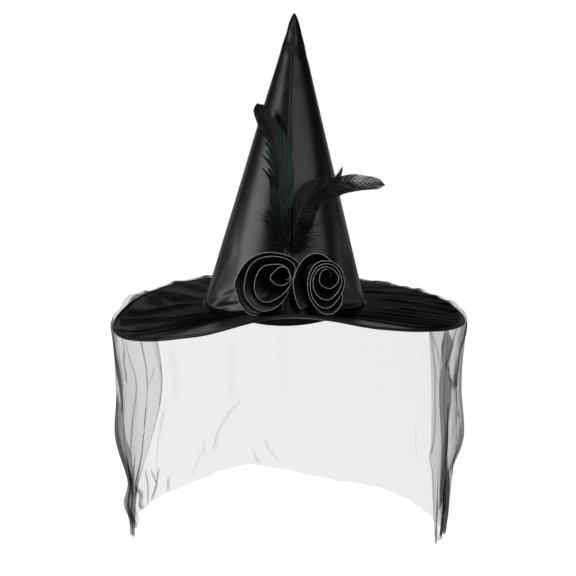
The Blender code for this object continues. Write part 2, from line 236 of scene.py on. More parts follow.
def tube(path: np.ndarray, radius: np.ndarray, upright: np.ndarray, sides: int) -> Patch:
    """A round profile carried along one path or a batch of paths.

    Each ring stands across the path: its point is the path's point plus the radius times the cosine of the
    ring's angle along the side vector and the sine along the other, where side is the path's direction
    crossed with upright.

    Args:
        path: (..., rows, 3).
        radius: (..., rows) or a number; 0 at an end closes it.
        upright: a direction that the path never runs along.
        sides: points in each ring.

    Returns:
        The tube's patch.
    """
    ahead = unit(np.gradient(path, axis=-2))
    side = unit(np.cross(ahead, np.broadcast_to(upright, ahead.shape)))
    other = np.cross(side, ahead)
    angle = np.linspace(0, 2 * math.pi, sides, endpoint=False)
    ring = side[..., None, :] * np.cos(angle)[:, None] + other[..., None, :] * np.sin(angle)[:, None]
    reach = np.broadcast_to(radius, path.shape[:-1])[..., None, None]
    points = path[..., None, :] + ring * reach
    uv = np.broadcast_to(even_uv(path.shape[-2], sides + 1), path.shape[:-2] + (path.shape[-2], sides + 1, 2))
    return Patch(points, uv, closed=True)


def stitches(path: np.ndarray, spacing: float, length: float, thickness: float, upright: np.ndarray) -> Patch:
    """Short thread tubes laid end to end along a path.

    Each stitch is the stretch of the path round its middle, with its ends pulled to points.

    Args:
        path: (points, 3) of the seam.
        spacing: from one stitch to the next.
        length: of one stitch.
        thickness: of the thread.
        upright: a direction across the seam.

    Returns:
        A patch with a small tube for each stitch.
    """
    run = np.concatenate([[0.0], np.cumsum(np.linalg.norm(np.diff(path, axis=0), axis=1))])
    middles = np.arange(spacing / 2, run[-1], spacing)
    shares = np.array([-0.5, -0.4, 0.0, 0.4, 0.5])
    places = middles[:, None] + shares * length
    lines = np.stack([np.interp(places, run, path[:, axis]) for axis in range(3)], axis=-1)
    fatness = np.array([0.0, 0.8, 1.0, 0.8, 0.0]) * thickness / 2
    return tube(lines, fatness, upright, 5)


# Colours and finishes

def srgb(code: str) -> tuple[float, float, float, float]:
    """A hex colour as Blender's linear red, green, blue and alpha.

    Args:
        code: a hash and six hex digits.

    Returns:
        The linear colour.
    """
    shares = [int(code[place:place + 2], 16) / 255 for place in (1, 3, 5)]
    linear = [share / 12.92 if share <= 0.04045 else ((share + 0.055) / 1.055) ** 2.4 for share in shares]
    return (*linear, 1.0)


def add_node(tree: bpy.types.NodeTree, kind: str, inputs: dict | None = None, **settings) -> bpy.types.Node:
    """Add a node with its settings and links.

    Args:
        tree: the node tree.
        kind: the node's type.
        inputs: for each input's name or number, a value or another node's output.
        settings: the node's own properties.

    Returns:
        The node.
    """
    node = tree.nodes.new(kind)
    for name, value in settings.items():
        setattr(node, name, value)
    for name, value in (inputs or {}).items():
        if isinstance(value, bpy.types.NodeSocket):
            tree.links.new(value, node.inputs[name])
        else:
            node.inputs[name].default_value = value
    return node


def new_finish(name: str, colour: str, roughness: float, **sockets) -> tuple:
    """A material with a Principled shader.

    Args:
        name: the finish's name.
        colour: its hex colour.
        roughness: of its surface.
        sockets: other inputs of the shader, with underscores for spaces.

    Returns:
        The material, its node tree and its shader.
    """
    finish = bpy.data.materials.new(name)
    finish.use_nodes = True
    shader = finish.node_tree.nodes["Principled BSDF"]
    shader.inputs["Base Color"].default_value = srgb(colour)
    shader.inputs["Roughness"].default_value = roughness
    for socket, value in sockets.items():
        shader.inputs[socket.replace("_", " ")].default_value = value
    return finish, finish.node_tree, shader


@dataclass(frozen=True)
class Satin:
    """Polyester satin, woven with long floats on its face.

    It gives the eye broad soft highlights that follow the folds, with a faint crosswise slub.
    """

    name: str = "black polyester satin"
    colour: str = "#070708"
    roughness: float = 0.3
    thread_mm: float = 1.0      # a satin thread is 0.15 mm, too fine to show, so it is drawn this coarse
    slub_mm: float = 14.0
    stretch: tuple[float, float, float] = (0.35, 0.35, 1.0)
    gloss_from: float = -0.05   # what the slub adds to the roughness, at least and at most
    gloss_to: float = 0.07
    bump: float = 0.04
    bump_mm: float = 0.2

    def material(self) -> bpy.types.Material:
        """Satin with a weave bump and uneven gloss.

        Returns:
            The finish.
        """
        finish, tree, shader = new_finish(
            self.name, self.colour, self.roughness, Sheen_Weight=0.02, Sheen_Roughness=0.4,
        )
        place = add_node(tree, "ShaderNodeTexCoord").outputs["Object"]
        stretched = add_node(tree, "ShaderNodeMapping", {"Vector": place, "Scale": self.stretch})
        thread = add_node(tree, "ShaderNodeTexNoise", {
            "Vector": stretched.outputs[0], "Scale": 1 / (self.thread_mm * MM), "Detail": 1.0,
        })
        slub = add_node(tree, "ShaderNodeTexNoise", {
            "Vector": stretched.outputs[0], "Scale": 1 / (self.slub_mm * MM), "Detail": 3.0,
        })
        gloss = add_node(tree, "ShaderNodeMapRange", {
            "Value": slub.outputs["Fac"], "To Min": self.roughness + self.gloss_from,
            "To Max": self.roughness + self.gloss_to,
        })
        bump = add_node(tree, "ShaderNodeBump", {
            "Height": thread.outputs["Fac"], "Strength": self.bump, "Distance": self.bump_mm * MM,
        })
        tree.links.new(gloss.outputs[0], shader.inputs["Roughness"])
        tree.links.new(bump.outputs[0], shader.inputs["Normal"])
        return finish


@dataclass(frozen=True)
class Grosgrain:
    """Ribbed band cloth: dull black with upright ribs that break up the light."""

    name: str = "black grosgrain band"
    colour: str = "#0d0d0f"
    roughness: float = 0.75
    rib_mm: float = 11.6        # a real rib is 1 mm, too fine to show, so it is drawn this coarse
    round_mm: float = 554.0     # length of the band
    wave_turn: float = 20.0     # angle that a wave texture of scale 1 runs through
    bump: float = 0.3
    bump_mm: float = 0.4

    def material(self) -> bpy.types.Material:
        """Band cloth whose ribs run up the band.

        Returns:
            The finish.
        """
        finish, tree, shader = new_finish(self.name, self.colour, self.roughness, Sheen_Weight=0.1)
        place = add_node(tree, "ShaderNodeUVMap", uv_map="cloth").outputs["UV"]
        ribs = self.round_mm / self.rib_mm
        rib = add_node(tree, "ShaderNodeTexWave", {
            "Vector": place, "Scale": 2 * math.pi * ribs / self.wave_turn, "Distortion": 0.0,
        })
        bump = add_node(tree, "ShaderNodeBump", {
            "Height": rib.outputs["Fac"], "Strength": self.bump, "Distance": self.bump_mm * MM,
        })
        tree.links.new(bump.outputs[0], shader.inputs["Normal"])
        return finish


@dataclass(frozen=True)
class Tulle:
    """Nylon tulle, a net of six-sided holes in fine black yarn.

    One layer lets most of the light through, and each gather lays more layers over each other. The number of
    layers at a place is the sheet's own value "layers", so that a layer passes its share of the light as
    often as there are layers.
    """

    name: str = "black nylon tulle"
    colour: str = "#070708"
    roughness: float = 0.5
    hole_mm: float = 1.5        # the net's holes are about 1.2 mm, drawn this wide so that they show
    yarn_cover: float = 0.27    # of the light, where the yarn is thickest
    hole_cover: float = 0.06
    yarn_sum: float = -1.5      # of the three cosines, where the yarn is thickest
    hole_sum: float = 1.2       # and from where it is an open hole
    layer_passes: float = 0.85  # of the light, through one layer

    def material(self, flat_mm: tuple[float, float]) -> bpy.types.Material:
        """Net over a sheet of this width and length, with the holes worked out along the cloth.

        The sum of three cosines that run 60 degrees apart is highest at the middle of each hole. The outer
        layer shows these holes, and each layer behind it passes its even share, because their holes never
        lie over each other.

        Args:
            flat_mm: the flat sheet's width and length.

        Returns:
            The finish.
        """
        finish, tree, shader = new_finish(self.name, self.colour, self.roughness, Specular_IOR_Level=0.05)
        place = add_node(tree, "ShaderNodeUVMap", uv_map="cloth").outputs["UV"]
        cloth = add_node(tree, "ShaderNodeMapping", {"Vector": place, "Scale": (*flat_mm, 1.0)}).outputs[0]
        wave = 2 * math.pi / (self.hole_mm * math.cos(math.pi / 6))
        total = None
        for turn in (0.0, math.pi / 3, 2 * math.pi / 3):
            across = (wave * math.cos(turn), wave * math.sin(turn), 0.0)
            run = add_node(tree, "ShaderNodeVectorMath", {0: cloth, 1: across}, operation="DOT_PRODUCT")
            ripple = add_node(tree, "ShaderNodeMath", {0: run.outputs["Value"]}, operation="COSINE")
            if total is not None:
                both = {0: total.outputs[0], 1: ripple.outputs[0]}
                ripple = add_node(tree, "ShaderNodeMath", both, operation="ADD")
            total = ripple
        cover = add_node(tree, "ShaderNodeMapRange", {
            "Value": total.outputs[0], "From Min": self.yarn_sum, "From Max": self.hole_sum,
            "To Min": self.yarn_cover, "To Max": self.hole_cover,
        }, interpolation_type="SMOOTHSTEP")
        passed = add_node(tree, "ShaderNodeMath", {0: 1.0, 1: cover.outputs[0]}, operation="SUBTRACT")
        layers = add_node(tree, "ShaderNodeAttribute", attribute_name="layers").outputs["Fac"]
        behind = add_node(tree, "ShaderNodeMath", {0: layers, 1: 1.0}, operation="SUBTRACT")
        dimmed = add_node(tree, "ShaderNodeMath", {
            0: self.layer_passes, 1: behind.outputs[0],
        }, operation="POWER")
        through = add_node(tree, "ShaderNodeMath", {
            0: passed.outputs[0], 1: dimmed.outputs[0],
        }, operation="MULTIPLY")
        alpha = add_node(tree, "ShaderNodeMath", {0: 1.0, 1: through.outputs[0]}, operation="SUBTRACT")
        tree.links.new(alpha.outputs[0], shader.inputs["Alpha"])
        return finish


@dataclass(frozen=True)
class SelvedgeThread:
    """Shiny filament thread: the stitches, and the ribbon's woven edge, which catches thin bright lines; on
    the edge it is drawn near white, a painted highlight.
    """

    name: str = "black filament thread"
    colour: str = "#2a2a2d"
    roughness: float = 0.3
    twist_mm: float = 0.8
    bump: float = 0.2
    bump_mm: float = 0.2

    def material(self) -> bpy.types.Material:
        """Thread with a fine twist in its bump.

        Returns:
            The finish.
        """
        finish, tree, shader = new_finish(self.name, self.colour, self.roughness, Sheen_Weight=0.3)
        place = add_node(tree, "ShaderNodeTexCoord").outputs["Object"]
        twist = add_node(tree, "ShaderNodeTexNoise", {"Vector": place, "Scale": 1 / (self.twist_mm * MM)})
        bump = add_node(tree, "ShaderNodeBump", {
            "Height": twist.outputs["Fac"], "Strength": self.bump, "Distance": self.bump_mm * MM,
        })
        tree.links.new(bump.outputs[0], shader.inputs["Normal"])
        return finish


@dataclass(frozen=True)
class Plumage:
    """Dyed rooster feather: black barbs with a band of painted sheen along the vane, painted into their
    colour, and painted shade on a side that takes less of that sheen.

    Towards the tip the barbs are thinner, and some light comes through them.
    """

    name: str
    ends: str
    # gloss is the colour of the painted sheen band, full from gloss_from to gloss_to along the feather.
    gloss: str
    gloss_from: float
    gloss_to: float
    thin_from: float = 0.5
    tip_cover: float = 0.8
    roughness: float = 0.42
    gloss_fade: float = 0.14    # share of the feather over which the painted sheen comes and goes
    thin_over: float = 0.2      # share of it over which the cover falls
    clump_mm: float = 6.0
    painted_shade_side: float = 0.3      # painted shade: what a side without the painted sheen keeps of its brightness
    full_shade: float = 0.5     # value of the mixed clumps that gives the brightest shade
    shade_from: float = 0.15
    shade_to: float = 2.6

    def material(self) -> bpy.types.Material:
        """Barbs whose colour turns from black to the painted sheen and back along the feather, with painted
        shade on sides that take less of it.

        Returns:
            The finish.
        """
        finish, tree, shader = new_finish(self.name, self.ends, self.roughness, Metallic=0.2,
                                          Specular_IOR_Level=0.4)
        along = add_node(tree, "ShaderNodeAttribute", attribute_name="along").outputs["Fac"]
        band = add_node(tree, "ShaderNodeValToRGB", {"Fac": along})
        ramp = band.color_ramp
        ramp.elements[0].position = max(self.gloss_from - self.gloss_fade, 0.0)
        ramp.elements[1].position = min(self.gloss_to + self.gloss_fade, 1.0)
        ramp.elements.new(self.gloss_from)
        ramp.elements.new(self.gloss_to)
        for element, code in zip(ramp.elements, (self.ends, self.gloss, self.gloss, self.ends)):
            element.color = srgb(code)
        place = add_node(tree, "ShaderNodeTexCoord").outputs["Object"]
        noise = add_node(tree, "ShaderNodeTexNoise", {"Vector": place, "Scale": 1 / (self.clump_mm * MM)})
        tone = add_node(tree, "ShaderNodeAttribute", attribute_name="tone").outputs["Fac"]
        # Painted shade: the mark "gloss" is the share of the painted sheen that a barb takes, and with less
        # of it the whole colour is darker.
        painted_sheen_share = add_node(tree, "ShaderNodeAttribute", attribute_name="gloss").outputs["Fac"]
        painted_side_light = add_node(tree, "ShaderNodeMapRange", {
            "Value": painted_sheen_share, "To Min": self.painted_shade_side, "To Max": 1.0,
        })
        uneven = add_node(tree, "ShaderNodeMath", {0: noise.outputs["Fac"], 1: tone}, operation="MULTIPLY")
        mixed = add_node(tree, "ShaderNodeMath", {
            0: uneven.outputs[0], 1: painted_side_light.outputs[0],
        }, operation="MULTIPLY")
        shade = add_node(tree, "ShaderNodeMapRange", {
            "Value": mixed.outputs[0], "From Max": self.full_shade,
            "To Min": self.shade_from, "To Max": self.shade_to,
        })
        tinted = add_node(tree, "ShaderNodeVectorMath", {
            0: band.outputs["Color"], "Scale": shade.outputs[0],
        }, operation="SCALE")
        cover = add_node(tree, "ShaderNodeMapRange", {
            "Value": along, "From Min": self.thin_from, "From Max": self.thin_from + self.thin_over,
            "To Min": 1.0, "To Max": self.tip_cover,
        })
        tree.links.new(tinted.outputs[0], shader.inputs["Base Color"])
        tree.links.new(cover.outputs[0], shader.inputs["Alpha"])
        return finish


@dataclass(frozen=True)
class Quill:
    """Dyed keratin shaft: smooth, with a long narrow shine."""

    name: str = "dark feather quill"
    colour: str = "#1d1a1b"
    roughness: float = 0.3
    streak_mm: float = 3.0
    dull_from: float = 0.2      # roughness along the streaks, from here to there
    dull_to: float = 0.45

    def material(self) -> bpy.types.Material:
        """Shaft with faint streaks of duller shine.

        Returns:
            The finish.
        """
        finish, tree, shader = new_finish(self.name, self.colour, self.roughness)
        place = add_node(tree, "ShaderNodeTexCoord").outputs["Object"]
        streak = add_node(tree, "ShaderNodeTexNoise", {"Vector": place, "Scale": 1 / (self.streak_mm * MM)})
        dull = add_node(tree, "ShaderNodeMapRange", {
            "Value": streak.outputs["Fac"], "To Min": self.dull_from, "To Max": self.dull_to,
        })
        tree.links.new(dull.outputs[0], shader.inputs["Roughness"])
        return finish


# Satin crown

class Pucker(NamedTuple):
    """A crease in stiffened satin: its middle, length and width in mm, slant in degrees and depth."""

    azimuth: float
    height: float
    length: float
    width: float
    slant: float
    depth: float


@dataclass
class Crown:
    """Cone of stiffened satin with a lapped seam up the front and soft puckers at its foot."""

    opening_radius: float = 91.0
    height: float = 325.0
    slope: float = 0.2716       # radius lost per millimetre of height
    lean: float = 11.0
    wall: float = 1.6
    foot: float = 1.4
    tip_start: float = 312.0
    hollow_height: float = 300.0
    dent_height: float = 52.0
    dent_spread: float = 24.0
    dent_depth: float = 2.2
    dents: tuple[tuple[float, float], ...] = ((-62.0, 14.0), (66.0, 12.0))
    seam_lap: float = 1.3       # from the seam to each edge of its lap
    seam_rise: float = 0.55
    seam_allowance: float = 9.0
    groove_inset: float = 0.6   # from the lap's first edge to its row of stitches
    groove_depth: float = 0.45
    unevenness: float = 0.5
    ruck_depth: float = 0.3
    bulky: tuple[float, float] = (235.0, 300.0)     # heights between which the seam's lap gets bulkier
    rucked: tuple[float, float] = (240.0, 290.0)
    tip_blend: float = 14.0
    columns: int = 400
    rows: int = 170
    inner_rows: int = 14
    row_bunching: float = 1.15
    front_columns: float = 50.0     # degrees to each side, were all columns as close as in front
    back_columns: float = 130.0     # degrees that their spreading apart adds to that
    puckers: tuple[Pucker, ...] = (
        Pucker(-60, 9, 17, 4.0, 30, 1.3), Pucker(-52, 15, 22, 4.5, 24, -1.7),
        Pucker(-46, 7, 20, 3.6, 16, 1.7), Pucker(-38, 14, 24, 4.5, 22, -1.4),
        Pucker(-33, 5, 16, 3.2, 8, 1.2), Pucker(-70, 30, 40, 9.0, 62, 0.8),
        Pucker(56, 3, 22, 2.4, -8, 1.3), Pucker(60, 9, 16, 3.0, -14, -0.5),
        Pucker(76, 6, 9, 2.6, -56, 1.9), Pucker(43, 9, 9, 2.4, 42, 1.1),
        Pucker(48, 20, 24, 6.0, -50, -0.3), Pucker(110, 8, 24, 5.0, 12, 1.0),
        Pucker(160, 7, 26, 5.0, -9, 1.1), Pucker(-120, 8, 24, 5.0, 14, 1.1),
        Pucker(-160, 12, 22, 5.0, -15, -1.0),
    )

    def radius(self, height: np.ndarray) -> np.ndarray:
        """Outside radius at a height: it falls by the slope, and at the tip by a quarter of an ellipse.

        Args:
            height: above the crown's base.

        Returns:
            The radius, without the relief.
        """
        cone = self.opening_radius - self.slope * height
        past = np.clip((height - self.tip_start) / (self.height - self.tip_start), 0.0, 1.0)
        return cone * np.sqrt(1 - past ** 2)

    def shift(self, height: np.ndarray) -> np.ndarray:
        """How far the middle has leant to +X at a height."""
        return self.lean * height / self.height

    def front(self, x: np.ndarray, z: np.ndarray, clear: float) -> np.ndarray:
        """Depth (y) of the front of the wall at x and z, kept clear by a distance."""
        return -np.sqrt((self.radius(z) + clear) ** 2 - (x - self.shift(z)) ** 2)

    def relief(self, azimuth: np.ndarray, height: np.ndarray) -> np.ndarray:
        """How far the satin stands out from the cone, in mm.

        The parts are the dents low on both sides, the puckers, each the product of two bells along and
        across it, the seam's lap, which steps up on one side and runs out over the allowance on the other,
        with a groove at each row of stitches, and a slow unevenness.

        Args:
            azimuth: in degrees.
            height: above the crown's base.

        Returns:
            The relief at each place.
        """
        low = hump(height, self.dent_height, self.dent_spread)
        out = -self.dent_depth * low * sum(hump(azimuth, place, width) for place, width in self.dents)
        arc = np.radians(azimuth) * self.radius(height)
        for crease in self.puckers:
            turn = math.radians(crease.slant)
            away = arc - math.radians(crease.azimuth) * self.radius(height)
            up = height - crease.height
            along = away * math.cos(turn) + up * math.sin(turn)
            across = up * math.cos(turn) - away * math.sin(turn)
            out = out + crease.depth * hump(along, 0, crease.length) * hump(across, 0, crease.width)
        stepped = ease(arc, -self.seam_lap - 0.5, -self.seam_lap + 0.1)
        lap = stepped * (1 - ease(arc, self.seam_lap, self.seam_allowance))
        bulk = 1 + 0.5 * ease(height, *self.bulky)
        grooves = hump(arc, self.seam_lap, 0.45) + 0.6 * hump(arc, -self.seam_lap - self.groove_inset, 0.5)
        pull = wander(height / 100, 3, (1.3, 2.9, 4.7))
        out = out + bulk * (self.seam_rise * lap - self.groove_depth * grooves)
        out = out + 0.25 * pull * hump(arc, 0, self.seam_allowance)
        slow = wander(azimuth / 360, 5, (2, 3, 5)) * wander(height / self.height, 7, (1.3, 2.1))
        slow = slow * self.unevenness
        ruck = wander(height / 100 + azimuth / 700, 9, (2.7, 4.3))
        ruck = self.ruck_depth * ease(height, *self.rucked) * ruck
        return (out + slow + ruck) * ease(self.height - height, 0.0, self.tip_blend)

    def shell(self) -> list[Patch]:
        """Outer face from foot to tip and inner face back down, in one closed profile.

        Returns:
            One patch.
        """
        share = np.linspace(-1, 1, self.columns, endpoint=False)
        azimuth = share * (self.front_columns + self.back_columns * share ** 2)
        up = np.linspace(0, 1, self.rows) ** self.row_bunching
        heights = np.concatenate([
            self.foot + up * (self.height - self.foot),
            np.linspace(self.hollow_height, self.foot, self.inner_rows),
        ])
        inset = np.concatenate([np.zeros(self.rows), np.full(self.inner_rows, self.wall)])
        height, turn = np.meshgrid(heights, azimuth, indexing="ij")
        radius = self.radius(height) + self.relief(turn, height) - inset[:, None]
        radius[self.rows - 1] = 0.0
        radius[self.rows] = 0.0
        angle = np.radians(turn)
        points = np.stack([
            self.shift(height) + radius * np.sin(angle), -radius * np.cos(angle), height,
        ], axis=-1)
        rows, columns = height.shape
        return [Patch(points, even_uv(rows + 1, columns + 1), closed=True, looped=True)]

    def seam_line(self, arc: float, proud: float) -> np.ndarray:
        """A path up the front at a distance beside the seam.

        Args:
            arc: distance beside the seam, along the satin.
            proud: how far the path stands off the satin.

        Returns:
            Points from the foot to the tip.
        """
        heights = np.linspace(6.0, 306.0, 200)
        azimuth = np.degrees(arc / self.radius(heights))
        radius = self.radius(heights) + self.relief(azimuth, heights) + proud
        angle = np.radians(azimuth)
        return np.stack([
            self.shift(heights) + radius * np.sin(angle), -radius * np.cos(angle), heights,
        ], axis=-1)

    def build(self, satin: bpy.types.Material, thread: bpy.types.Material) -> None:
        """Make the shell and its topstitching.

        Args:
            satin: finish of the shell.
            thread: finish of the stitches.
        """
        make_piece("crown_shell", self.shell(), [satin], ("crown",), solid=True)
        rows = [
            stitches(self.seam_line(arc, 0.05), 3.0, 2.3, 0.5, np.array([0.0, 1.0, 0.0]))
            for arc in (-self.seam_lap - self.groove_inset, self.seam_lap)
        ]
        make_piece("crown_topstitching", rows, [thread], solid=True)


# Satin brim

class EdgeHeight(NamedTuple):
    """Height of the brim's edge at an azimuth."""

    azimuth: float
    height: float


@dataclass
class Brim:
    """Stiff round brim with a saddle wave, a wired rolled edge and a stitched groove beside it."""

    radius: float = 200.0
    shift: float = 5.0
    hole_radius: float = 88.6
    half_thickness: float = 1.0
    roll_radius: float = 1.6
    rise_power: float = 1.2
    groove_inset: float = 5.2
    groove_depth: float = 0.55
    roll_turn: float = 128.0        # degrees of its circle to each side of level
    fine_pull: float = 0.16         # how far the stitches pull the satin at the edge
    broad_pull: float = 0.25
    columns: int = 480
    edge: tuple[EdgeHeight, ...] = (
        EdgeHeight(-30, -5), EdgeHeight(0, 22), EdgeHeight(30, 3), EdgeHeight(60, -12),
        EdgeHeight(90, -19), EdgeHeight(120, -13), EdgeHeight(150, -9), EdgeHeight(180, -5),
        EdgeHeight(210, -3), EdgeHeight(240, -11), EdgeHeight(270, -25), EdgeHeight(300, -23),
        EdgeHeight(330, -5), EdgeHeight(360, 22), EdgeHeight(390, 3),
    )

    def point(self, azimuth: np.ndarray, out: np.ndarray, lift: np.ndarray, reach: np.ndarray) -> np.ndarray:
        """Place on the brim.

        The radius grows evenly with out, and the height is the edge's height times out to the power of the
        rise.

        Args:
            azimuth: in degrees.
            out: 0 at the opening and 1 at the edge.
            lift: upwards from the middle of the brim.
            reach: outwards.

        Returns:
            Points, (..., 3).
        """
        edge = smooth(column(self.edge, "azimuth"), column(self.edge, "height"), azimuth % 360)
        angle = np.radians(azimuth)
        radius = self.hole_radius + out * (self.radius - self.hole_radius) + reach
        height = edge * np.maximum(out, 0.0) ** self.rise_power + lift
        return np.stack([self.shift * out + radius * np.sin(angle), -radius * np.cos(angle), height], axis=-1)

    def profile(self) -> tuple[np.ndarray, np.ndarray]:
        """Radius and lift round the section: the top, the roll as most of a circle, and the underside.

        Returns:
            The radius and the lift of each point of the section.
        """
        roll_middle = self.radius - self.roll_radius
        flat = np.concatenate([
            np.linspace(self.hole_radius, self.radius - 12, 22, endpoint=False),
            np.linspace(self.radius - 12, roll_middle - 1.2, 20),
        ])
        groove = self.groove_depth * hump(flat, self.radius - self.groove_inset, 0.8)
        turn = np.linspace(math.radians(self.roll_turn), math.radians(-self.roll_turn), 13)
        radius = np.concatenate([flat, roll_middle + self.roll_radius * np.cos(turn), flat[::-1]])
        top = self.half_thickness - groove
        lift = np.concatenate([top, self.roll_radius * np.sin(turn), -top[::-1]])
        return radius, lift

    def build(self, satin: bpy.types.Material, thread: bpy.types.Material) -> None:
        """Make the brim and the stitches in its groove.

        Args:
            satin: finish of the cloth.
            thread: finish of the stitches.
        """
        radius, lift = self.profile()
        azimuth = np.linspace(0, 360, self.columns, endpoint=False)
        share = (radius - self.hole_radius) / (self.radius - self.hole_radius)
        out, turn = np.meshgrid(share, azimuth, indexing="ij")
        edge_share = ease(out, 0.86, 0.95) * (1 - ease(out, 0.975, 0.985))
        fine = self.fine_pull * edge_share * wander(turn / 360, 11, (97, 61, 133))
        broad = self.broad_pull * out * wander(turn / 360, 13, (7, 17))
        points = self.point(turn, out, lift[:, None] + (fine + broad), 0.0)
        patch = Patch(points, even_uv(len(radius) + 1, self.columns + 1), closed=True, looped=True)
        make_piece("brim_cloth", [patch], [satin], ("brim",), solid=True)
        circle = np.linspace(0, 360, 720)
        rows = []
        for side in (1, -1):
            lift = side * (self.half_thickness - self.groove_depth + 0.1)
            line = self.point(circle, 1.0, lift, -self.groove_inset)
            rows.append(stitches(line, 3.4, 2.7, 0.5, np.array([0.0, 0.0, 1.0])))
        make_piece("brim_topstitching", rows, [thread], solid=True)


@dataclass
class InnerBand:
    """Band inside the head opening that sags a little below the brim at the front."""

    brim: Brim
    crown: Crown
    gap: float = 0.4
    wall: float = 1.2
    top: float = 12.0
    drop: float = 3.0
    front_sag: float = 7.6
    columns: int = 300

    def build(self, cloth: bpy.types.Material) -> None:
        """A thin closed section carried round the opening, lower at the front by a power of the cosine.

        Args:
            cloth: finish of the band.
        """
        outer = self.brim.hole_radius - self.gap
        narrow = self.crown.radius(self.top) - self.crown.wall - self.gap
        heights = np.concatenate([np.linspace(-self.drop, 0, 8), np.linspace(1.0, self.top, 8)])
        slanted = outer + (narrow - outer) * (heights - 1.0) / (self.top - 1.0)
        outside = np.where(heights <= 1.0, outer, slanted)
        radius = np.concatenate([outside, outside[::-1] - self.wall])
        height = np.concatenate([heights, heights[::-1]])
        azimuth = np.linspace(0, 360, self.columns, endpoint=False)
        up, turn = np.meshgrid(height, np.radians(azimuth), indexing="ij")
        low = np.clip(-up / self.drop, 0.0, 1.0)
        up = up - low * self.front_sag * np.maximum(np.cos(turn), 0.0) ** 4
        around = radius[:, None]
        points = np.stack([
            self.crown.shift(np.maximum(up, 0.0)) + around * np.sin(turn), -around * np.cos(turn), up,
        ], axis=-1)
        patch = Patch(points, even_uv(len(height) + 1, self.columns + 1), closed=True, looped=True)
        make_piece("band_cloth", [patch], [cloth], ("inner_band",), solid=True)


# Tulle

class Fold(NamedTuple):
    """A fold of the tulle, as in the part: where it starts, crosses the edge and hangs, in mm and degrees."""

    pleat: float
    foot_turn: float
    turn: float
    shoulder_x: float
    shoulder_y: float
    waist_x: float
    waist_y: float
    neck_x: float
    neck_y: float
    hem_x: float
    hem_y: float
    hem_z: float
    fold: float


class Crossing(NamedTuple):
    """How the tulle crosses the brim: share of its width, height, reach and share of the loops' puff."""

    out: float
    lift: float
    reach: float
    puff: float


class Gather(NamedTuple):
    """Layers of net that lie together at a pleat, by the crown, on the brim and at edge, waist and hem."""

    pleat: float
    foot: float
    brim: float
    edge: float
    waist: float
    hem: float


class Crease(NamedTuple):
    """A line where the net doubles: its pleat at each drop, from -1 at the crown to 1 at the hem.

    width is in pleats, layers is what it adds, ridge how far it stands out in mm and fade how slowly it
    starts and ends.
    """

    pleats: tuple[float, ...]
    drops: tuple[float, ...]
    width: float
    layers: float
    ridge: float = 0.0
    fade: float = 0.02


class Panel(NamedTuple):
    """A stretch of net folded over itself between two lines, whose pleats are given at its drops."""

    low: tuple[float, ...]
    high: tuple[float, ...]
    drops: tuple[float, ...]
    layers: float


class Loop(NamedTuple):
    """A loop of slack tulle that stands up behind the brim's edge: its pleat, width and height."""

    pleat: float
    width: float
    height: float


# Each fold's row: pleat, foot turn, turn, shoulder x y, waist x y, neck x y, hem x y z, fold
FOLDS = (
    Fold(0.0, 28, 43.5, -131, -113, -149, -80, -167, -57, -171, -50, -264, 2.5),
    Fold(1.3, 41, 55, -149, -106, -158, -66, -168, -46, -172, -42, -262, 4.0),
    Fold(2.6, 55, 67, -166, -73, -171, -47, -173, -36, -175, -33, -264, 5.0),
    Fold(3.5, 68, 80, -186, -30, -183, -25, -175, -25, -171, -25, -258, 5.0),
    Fold(4.2, 80, 91, -192, 2, -189, 2, -177, -8, -172, -12, -262, 5.0),
    Fold(5.0, 94, 104, -187, 48, -183, 46, -172, 40, -168, 30, -256, 4.0),
    Fold(6.0, 108, 116, -173, 88, -170, 88, -163, 86, -159, 84, -259, 3.0),
    Fold(7.0, 121, 128, -152, 123, -150, 122, -149, 120, -147, 118, -260, 3.0),
    Fold(8.0, 137, 141, -121, 155, -120, 156, -118, 156, -117, 156, -257, 3.0),
    Fold(9.0, 152, 154, -83, 180, -83, 178, -84, 176, -84, 175, -248, 3.0),
    Fold(10.0, 166, 167, -40, 195, -41, 193, -43, 191, -44, 190, -242, 3.0),
    Fold(11.0, 180, 180, 5, 200, 5, 198, 4, 197, 4, 196, -251, 3.0),
    Fold(12.4, 199, 197, 63, 191, 62, 191, 61, 192, 60, 192, -262, 3.0),
    Fold(13.8, 217, 214, 116, 168, 116, 172, 115, 175, 114, 177, -267, 3.0),
    Fold(14.8, 230, 226, 148, 141, 149, 146, 149, 150, 150, 153, -275, 3.0),
    Fold(15.8, 243, 238, 172, 110, 169, 118, 165, 126, 163, 130, -278, 3.0),
    Fold(16.8, 257, 250, 190, 74, 185, 88, 177, 98, 173, 103, -279, 3.0),
    Fold(17.8, 272, 264, 199, 28, 196, 44, 184, 58, 180, 64, -279, 3.5),
    Fold(19.0, 289, 278, 200, -18, 200, -2, 185, 2, 183, 4, -268, 4.0),
    Fold(20.0, 303, 290, 189, -62, 190, -32, 184, -22, 182, -20, -266, 5.0),
    Fold(21.0, 316, 300, 177, -88, 180, -56, 178, -40, 177, -34, -268, 5.0),
    Fold(21.7, 324, 305, 169, -92, 174, -66, 173, -49, 172, -44, -272, 4.0),
    Fold(22.5, 332, 312.5, 160, -114, 163, -84, 167, -62, 171, -52, -259, 2.5),
)

